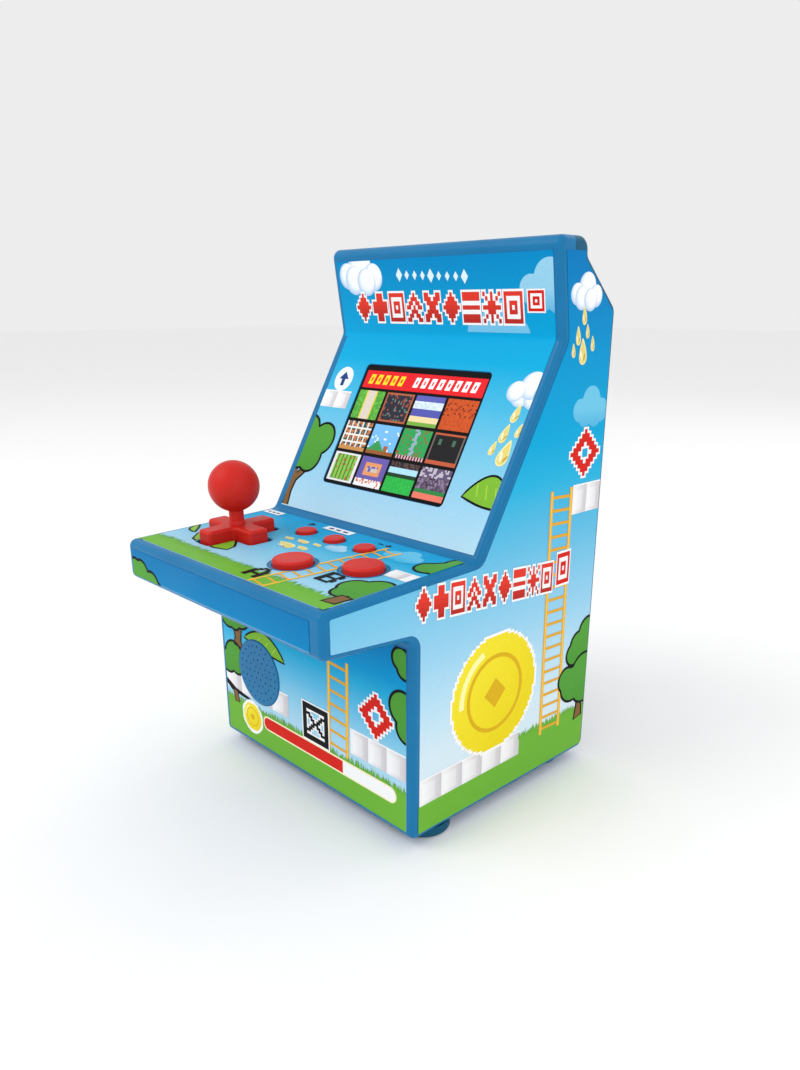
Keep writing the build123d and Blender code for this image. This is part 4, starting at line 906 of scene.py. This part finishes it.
# ------------------------------------------------------------------ deck
NAVY = (30, 44, 60)
LETTERS = {"A": ("..###..", ".##.##.", "##...##", "##...##", "#######", "##...##", "##...##"),
           "B": ("######.", "##...##", "##...##", "######.", "##...##", "##...##", "######.")}
# (across, up, width, height, turn)
DECK_DROPS = ((-6.0, 31.4, 5.4, 8.8, 78), (0.8, 32.4, 3.6, 5.6, 74), (-4.8, 37.0, 3.6, 6.2, 80),
              (-11.2, 36.4, 3.0, 4.6, 84), (1.6, 37.6, 2.8, 4.4, 76))
UNDER_STICK = [(-39.0, 19.5), (-34.5, 14.8), (-27.2, 13.4), (-20.0, 13.8), (-15.0, 15.4),
               (-16.2, 18.9), (-20.6, 22.4), (-26.0, 23.4), (-34.0, 23.0)]


def deck_art():
    art = Art("deck_art", DECK)
    turf(art, -48.0, 48.0, 2.9, 8.6, 31, blade=3.2)
    art.shape(UNDER_STICK, LIME, 5)
    art.ring(UNDER_STICK, 0.8, BLACK, 6)
    leaf(art, (-47.9, 25.6), (-41.0, 19.4), 2.6, 5)
    ladder(art, (18.0, 2.2), (24.6, 49.6), 7.0, 12, 4, 1.1, 0.8, 0.5)
    for u, v, wide, high, turn in DECK_DROPS:
        drop(art, u, v, wide, high, turn, 3)
    bush(art, [(40.6, 19.8, 5.0), (45.6, 23.0, 5.4), (48.4, 18.0, 5.6), (41.6, 15.4, 4.0)], 5)
    trunk(art, [(42.4, 6.8), (47.0, 7.4), (47.6, 13.0), (43.4, 13.0)], 7)
    blocks(art, 38.2, 31.6, 52.0, 37.4, 2, 4)
    bush(art, [(44.0, 44.6, 4.4), (47.6, 46.6, 5.6), (48.6, 52.6, 4.6)], 5)
    cloud(art, 31.0, 47.4, 15.0, 1, veil=((104, 196, 232), (60, 180, 226)))
    cloud(art, 9.4, 39.2, 9.0, 1, veil=((170, 216, 240), (120, 196, 232)))
    for mark, u, v in (("A", 7.4, 5.4), ("B", 26.6, 16.4)):
        bitmap(art, LETTERS[mark], u, v, (0.98, 1.08), 9, BLACK, rim=None)
    for u, width in ((-12.8, 13.6), (-47.2, 9.5)):
        art.shape(rectangle(u, 51.2, u + width, 54.6), WHITE, 5)
        for i in range(3):
            left, right = u + width * (0.14 + 0.26 * i), u + width * (0.32 + 0.26 * i)
            art.shape(rectangle(left, 52.3, right, 53.4), (40, 60, 110), 6)
    art.shape([(-20.0, 50.6), (-17.0, 52.0), (-20.0, 53.4)], NAVY, 5)
    for u in (15.0, 18.4):
        art.shape(rectangle(u, 51.3, u + 2.2, 52.0), NAVY, 5)
    art.shape(rectangle(19.15, 50.55, 19.85, 52.75), NAVY, 6)
    art.finish()


# ------------------------------------------------------------------ bezel and marquee
BADGE = (-39.0, 52.2)
ARROW = ((0.0, 2.8), (-2.6, 0.0), (-0.9, 0.0), (-0.9, -2.6), (0.9, -2.6), (0.9, 0.0), (2.6, 0.0))
BEZEL_DROPS = ((44.0, 46.2, 3.8, 6.2), (47.4, 41.0, 3.0, 4.6), (42.6, 39.6, 4.0, 6.4),
               (40.2, 34.6, 3.2, 4.8), (45.2, 33.6, 6.0, 8.6))


def bezel_art():
    art = Art("bezel_art", BEZEL)
    art.shape(oval(BADGE, 4.7, 4.7), (238, 246, 250), 2)
    art.shape([(BADGE[0] + u, BADGE[1] + v) for u, v in ARROW], (40, 70, 130), 3)
    blocks(art, BEZEL_LEFT, 41.0, -32.0, 47.6, 2)
    trunk(art, [(BEZEL_LEFT, 1.9), (-42.9, 2.1), (-44.0, 7.4), (-43.6, 11.7), (-38.6, 17.6),
                (-41.6, 18.4), (-44.6, 14.6), (-45.4, 17.6), (-47.6, 17.6)], 2)
    bush(art, [(-47.6, 31.6, 5.6), (-37.8, 28.8, 6.0), (-40.8, 21.4, 5.7), (-46.5, 22.2, 5.9),
               (-43.0, 27.0, 5.2)], 5)
    cloud(art, 46.0, 53.4, 17.0, 1)
    for u, v, wide, high in BEZEL_DROPS:
        drop(art, u, v, wide, high, -10, 4)
    leaf(art, (35.4, 18.2), (54.0, 16.4), -9.0, 4)
    art.finish()


def marquee_art():
    art = Art("marquee_art", MARQUEE)
    cloud(art, -35.8, 20.2, 22.0, 1)
    cloud(art, 46.5, 14.6, 22.0, 1, veil=((150, 208, 234), (96, 178, 220)))
    cloud(art, 26.0, 2.0, 25.0, 1, veil=((120, 196, 232), (92, 180, 226)))
    frieze(art, -39.4, 37.6, 4.4, 9.4, 6)
    bitmap(art, ORNAMENTS["ring"], 38.4, 8.0, (0.85, 0.85), 6, RED)
    for i in range(9):
        u, v = -16.0 + 3.7 * i, 19.6 - 0.15 * i
        high = 1.5 if i % 4 else 2.2
        wide = 0.7 * high
        art.shape([(u - wide, v), (u, v - high), (u + wide, v), (u, v + high)], (226, 244, 250), 4)
    art.finish()


lower_front_art()
apron_art()
deck_art()
bezel_art()
marquee_art()

# ------------------------------------------------------------------ screen picture
TILE = (13.2, 10.6)
TILE_PITCH = (14.35, 11.75)
TILE_FIRST = (-28.0, 38.3)
TILE_COLUMNS = 4
PIXELS = (20, 16)
BANNER = (-27.9, 49.9, 28.4, 56.4)
BANNER_RED = (226, 34, 42)


# Each scene colours one pixel of its tile, from its column i, its row j and a random number r.
def road(i, j, r):
    if 7 <= i <= 12:
        return (214, 204, 190)
    return (232, 200, 90) if i in (6, 13) else mix((70, 150, 60), (110, 190, 70), r)


def maze(i, j, r):
    if i in (0, 19) or j in (0, 15):
        return (176, 96, 66)
    return (150, 80, 70) if r > 0.86 else (96, 130, 120) if r > 0.76 else (44, 46, 58)


def shore(i, j, r):
    if j > 12:
        return (92, 96, 176)
    if j > 8:
        return mix((226, 236, 248), (150, 190, 236), r * 0.5)
    return (84, 88, 170) if j > 4 else (236, 214, 160) if j > 1 else (120, 170, 70)


def desert(i, j, r):
    if (i * 7 + j * 5) % 11 < 3 and 6 < j < 14 and r > 0.3:
        return (120, 50, 30)
    return mix((206, 88, 40), (188, 74, 34), r)


def crates(i, j, r):
    if j < 2:
        return (196, 140, 80)
    if i % 4 == 0 or j % 4 == 0:
        return (232, 230, 222)
    return (52, 84, 90) if r > 0.5 else (196, 120, 70)


def hills(i, j, r):
    if j < 2:
        return (150, 90, 50)
    if j < 7 - abs(i - 6) * 0.8:
        return (60, 150, 80)
    if 11 < i < 15 and j < 5:
        return (170, 96, 60)
    return (238, 244, 250) if r > 0.95 else (116, 184, 236)


def river(i, j, r):
    if j < 2:
        return (232, 170, 180) if i % 2 else (60, 60, 60)
    if abs(i - 9 - (j % 5) / 3) < 1.2:
        return (150, 170, 190)
    return (150, 90, 60) if r > 0.9 else (52, 158, 84)


def vault(i, j, r):
    if j in (0, 1, 15):
        return (190, 90, 60)
    if i in (0, 19):
        return (110, 100, 96)
    return (70, 110, 90) if i in (4, 5, 13, 14) and 9 < j < 13 else (34, 32, 34)


def rows(i, j, r):
    if i in (0, 1, 18, 19) or j in (0, 15):
        return (226, 226, 230)
    return (70, 130, 50) if i % 3 == 0 else (190, 90, 60) if r > 0.88 else (140, 190, 80)


def court(i, j, r):
    if j < 4:
        return (236, 236, 240) if r > 0.2 else (210, 120, 70)
    ring = 3 < i < 16 and 5 < j < 13
    if ring and not (5 < i < 14 and 7 < j < 11):
        return (226, 150, 100)
    return (200, 190, 180) if ring and r > 0.4 else (104, 92, 168)


def lawn(i, j, r):
    if j > 12:
        return (90, 70, 66) if r > 0.5 else (50, 44, 50)
    if j > 9:
        return (170, 220, 244)
    return (34, 66, 40) if j > 7 else mix((40, 172, 70), (56, 186, 80), r)


def crowd(i, j, r):
    if j < 3:
        return (232, 120, 100)
    if j < 5:
        return (48, 130, 70)
    if j < 11:
        return mix((150, 130, 160), (60, 50, 66), r)
    return (96, 84, 112) if r > 0.4 else (190, 180, 196)


SCENES = (road, maze, shore, desert, crates, hills, river, vault, rows, court, lawn, crowd)


def tile(art, paint, left, foot, chance):
    """One small picture, with each row drawn as stretches of one colour."""
    wide, high = TILE[0] / PIXELS[0], TILE[1] / PIXELS[1]
    for j in range(PIXELS[1]):
        start, tone = 0, None
        for i in range(PIXELS[0] + 1):
            now = paint(i, j, chance.random()) if i < PIXELS[0] else None
            if now != tone:
                if tone is not None:
                    art.shape(rectangle(left + start * wide, foot + j * high,
                                        left + i * wide, foot + (j + 1) * high), tone, 1)
                start, tone = i, now


def screen_picture():
    """A menu of twelve small pictures under a banner of plain slanted marks."""
    art = Art("screen_picture", SCREEN, PICTURE, base=0.0)
    art.shape(rectangle(*SCREEN.low, *SCREEN.high), (8, 7, 9), 0)
    art.shape(rectangle(*BANNER), BANNER_RED, 1)
    for i in range(14):
        u = -25.6 + 3.72 * i
        tone = (250, 214, 40) if i < 5 else (252, 250, 250)
        if i != 5:
            art.shape([(u, 51.4), (u + 2.3, 51.4), (u + 3.0, 55.0), (u + 0.7, 55.0)], tone, 2)
            art.shape([(u + 1.0, 52.5), (u + 1.7, 52.5), (u + 2.0, 53.9), (u + 1.3, 53.9)],
                      BANNER_RED, 3)
    chance = random.Random(7)
    for index, paint in enumerate(SCENES):
        column, line = index % TILE_COLUMNS, index // TILE_COLUMNS
        tile(art, paint, TILE_FIRST[0] + column * TILE_PITCH[0],
             TILE_FIRST[1] - line * TILE_PITCH[1], chance)
    art.finish("display_glass")


screen_picture()

# ------------------------------------------------------------------ floor, light and camera
FLOOR_REACH = 6.0
FLOOR_GAP = 0.0001
floor_mesh = bmesh.new()
bmesh.ops.create_grid(floor_mesh, x_segments=2, y_segments=2, size=FLOOR_REACH)
floor_data = bpy.data.meshes.new("floor")
floor_mesh.to_mesh(floor_data)
floor_mesh.free()
floor = bpy.data.objects.new("floor", floor_data)
bpy.context.scene.collection.objects.link(floor)
floor.location.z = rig.bounds()[0][2] - FLOOR_GAP
floor_data.materials.append(moulded("studio_floor", (252, 252, 252), rough=(0.7, 0.8), grain=400,
                                    bump=0.02, shade=0.005))
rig.stage(floor)

world = bpy.data.worlds.new("studio")
bpy.context.scene.world = world
world.use_nodes = True
sky = world.node_tree.nodes["Background"]
sky.inputs["Color"].default_value = (1.0, 1.0, 1.0, 1)
sky.inputs["Strength"].default_value = 0.85


def soft_light(name, place, aim, size, power):
    """A square lamp at a place, turned to the point that it aims at."""
    lamp = bpy.data.lights.new(name, "AREA")
    lamp.shape = "SQUARE"
    lamp.size = size
    lamp.energy = power
    light = bpy.data.objects.new(name, lamp)
    bpy.context.scene.collection.objects.link(light)
    light.location = place
    light.rotation_euler = (Vector(aim) - Vector(place)).to_track_quat("-Z", "Y").to_euler()


soft_light("key", (-0.45, -0.75, 0.95), (0, 0, 0.09), 0.7, 4.2)
soft_light("fill", (0.95, -0.35, 0.55), (0, 0, 0.08), 0.8, 1.8)
soft_light("rim", (0.1, 0.9, 0.8), (0, 0, 0.12), 0.8, 1.4)

CAMERA_AT = (0.20525, -0.17966, 0.15599)
CAMERA_DOWN = 19.15      # degrees below level
CAMERA_ROUND = 46.36     # degrees round from the front, towards the right side
camera_data = bpy.data.cameras.new("camera")
camera = bpy.data.objects.new("camera", camera_data)
bpy.context.scene.collection.objects.link(camera)
camera.location = CAMERA_AT
camera.rotation_euler = (radians(90 - CAMERA_DOWN), 0, radians(CAMERA_ROUND))
camera_data.sensor_fit = "VERTICAL"
camera_data.sensor_height = 36
camera_data.lens = 28.43
camera_data.shift_x = -0.0016
camera_data.shift_y = 0.0615
camera_data.clip_start = 0.01
bpy.context.scene.camera = camera
bpy.context.scene.view_settings.view_transform = "Standard"

boxes = {"cad": cad_box, "visual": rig.bounds()}
with open("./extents.json", "w") as out:
    json.dump({name: [list(corner) for corner in box] for name, box in boxes.items()}, out)
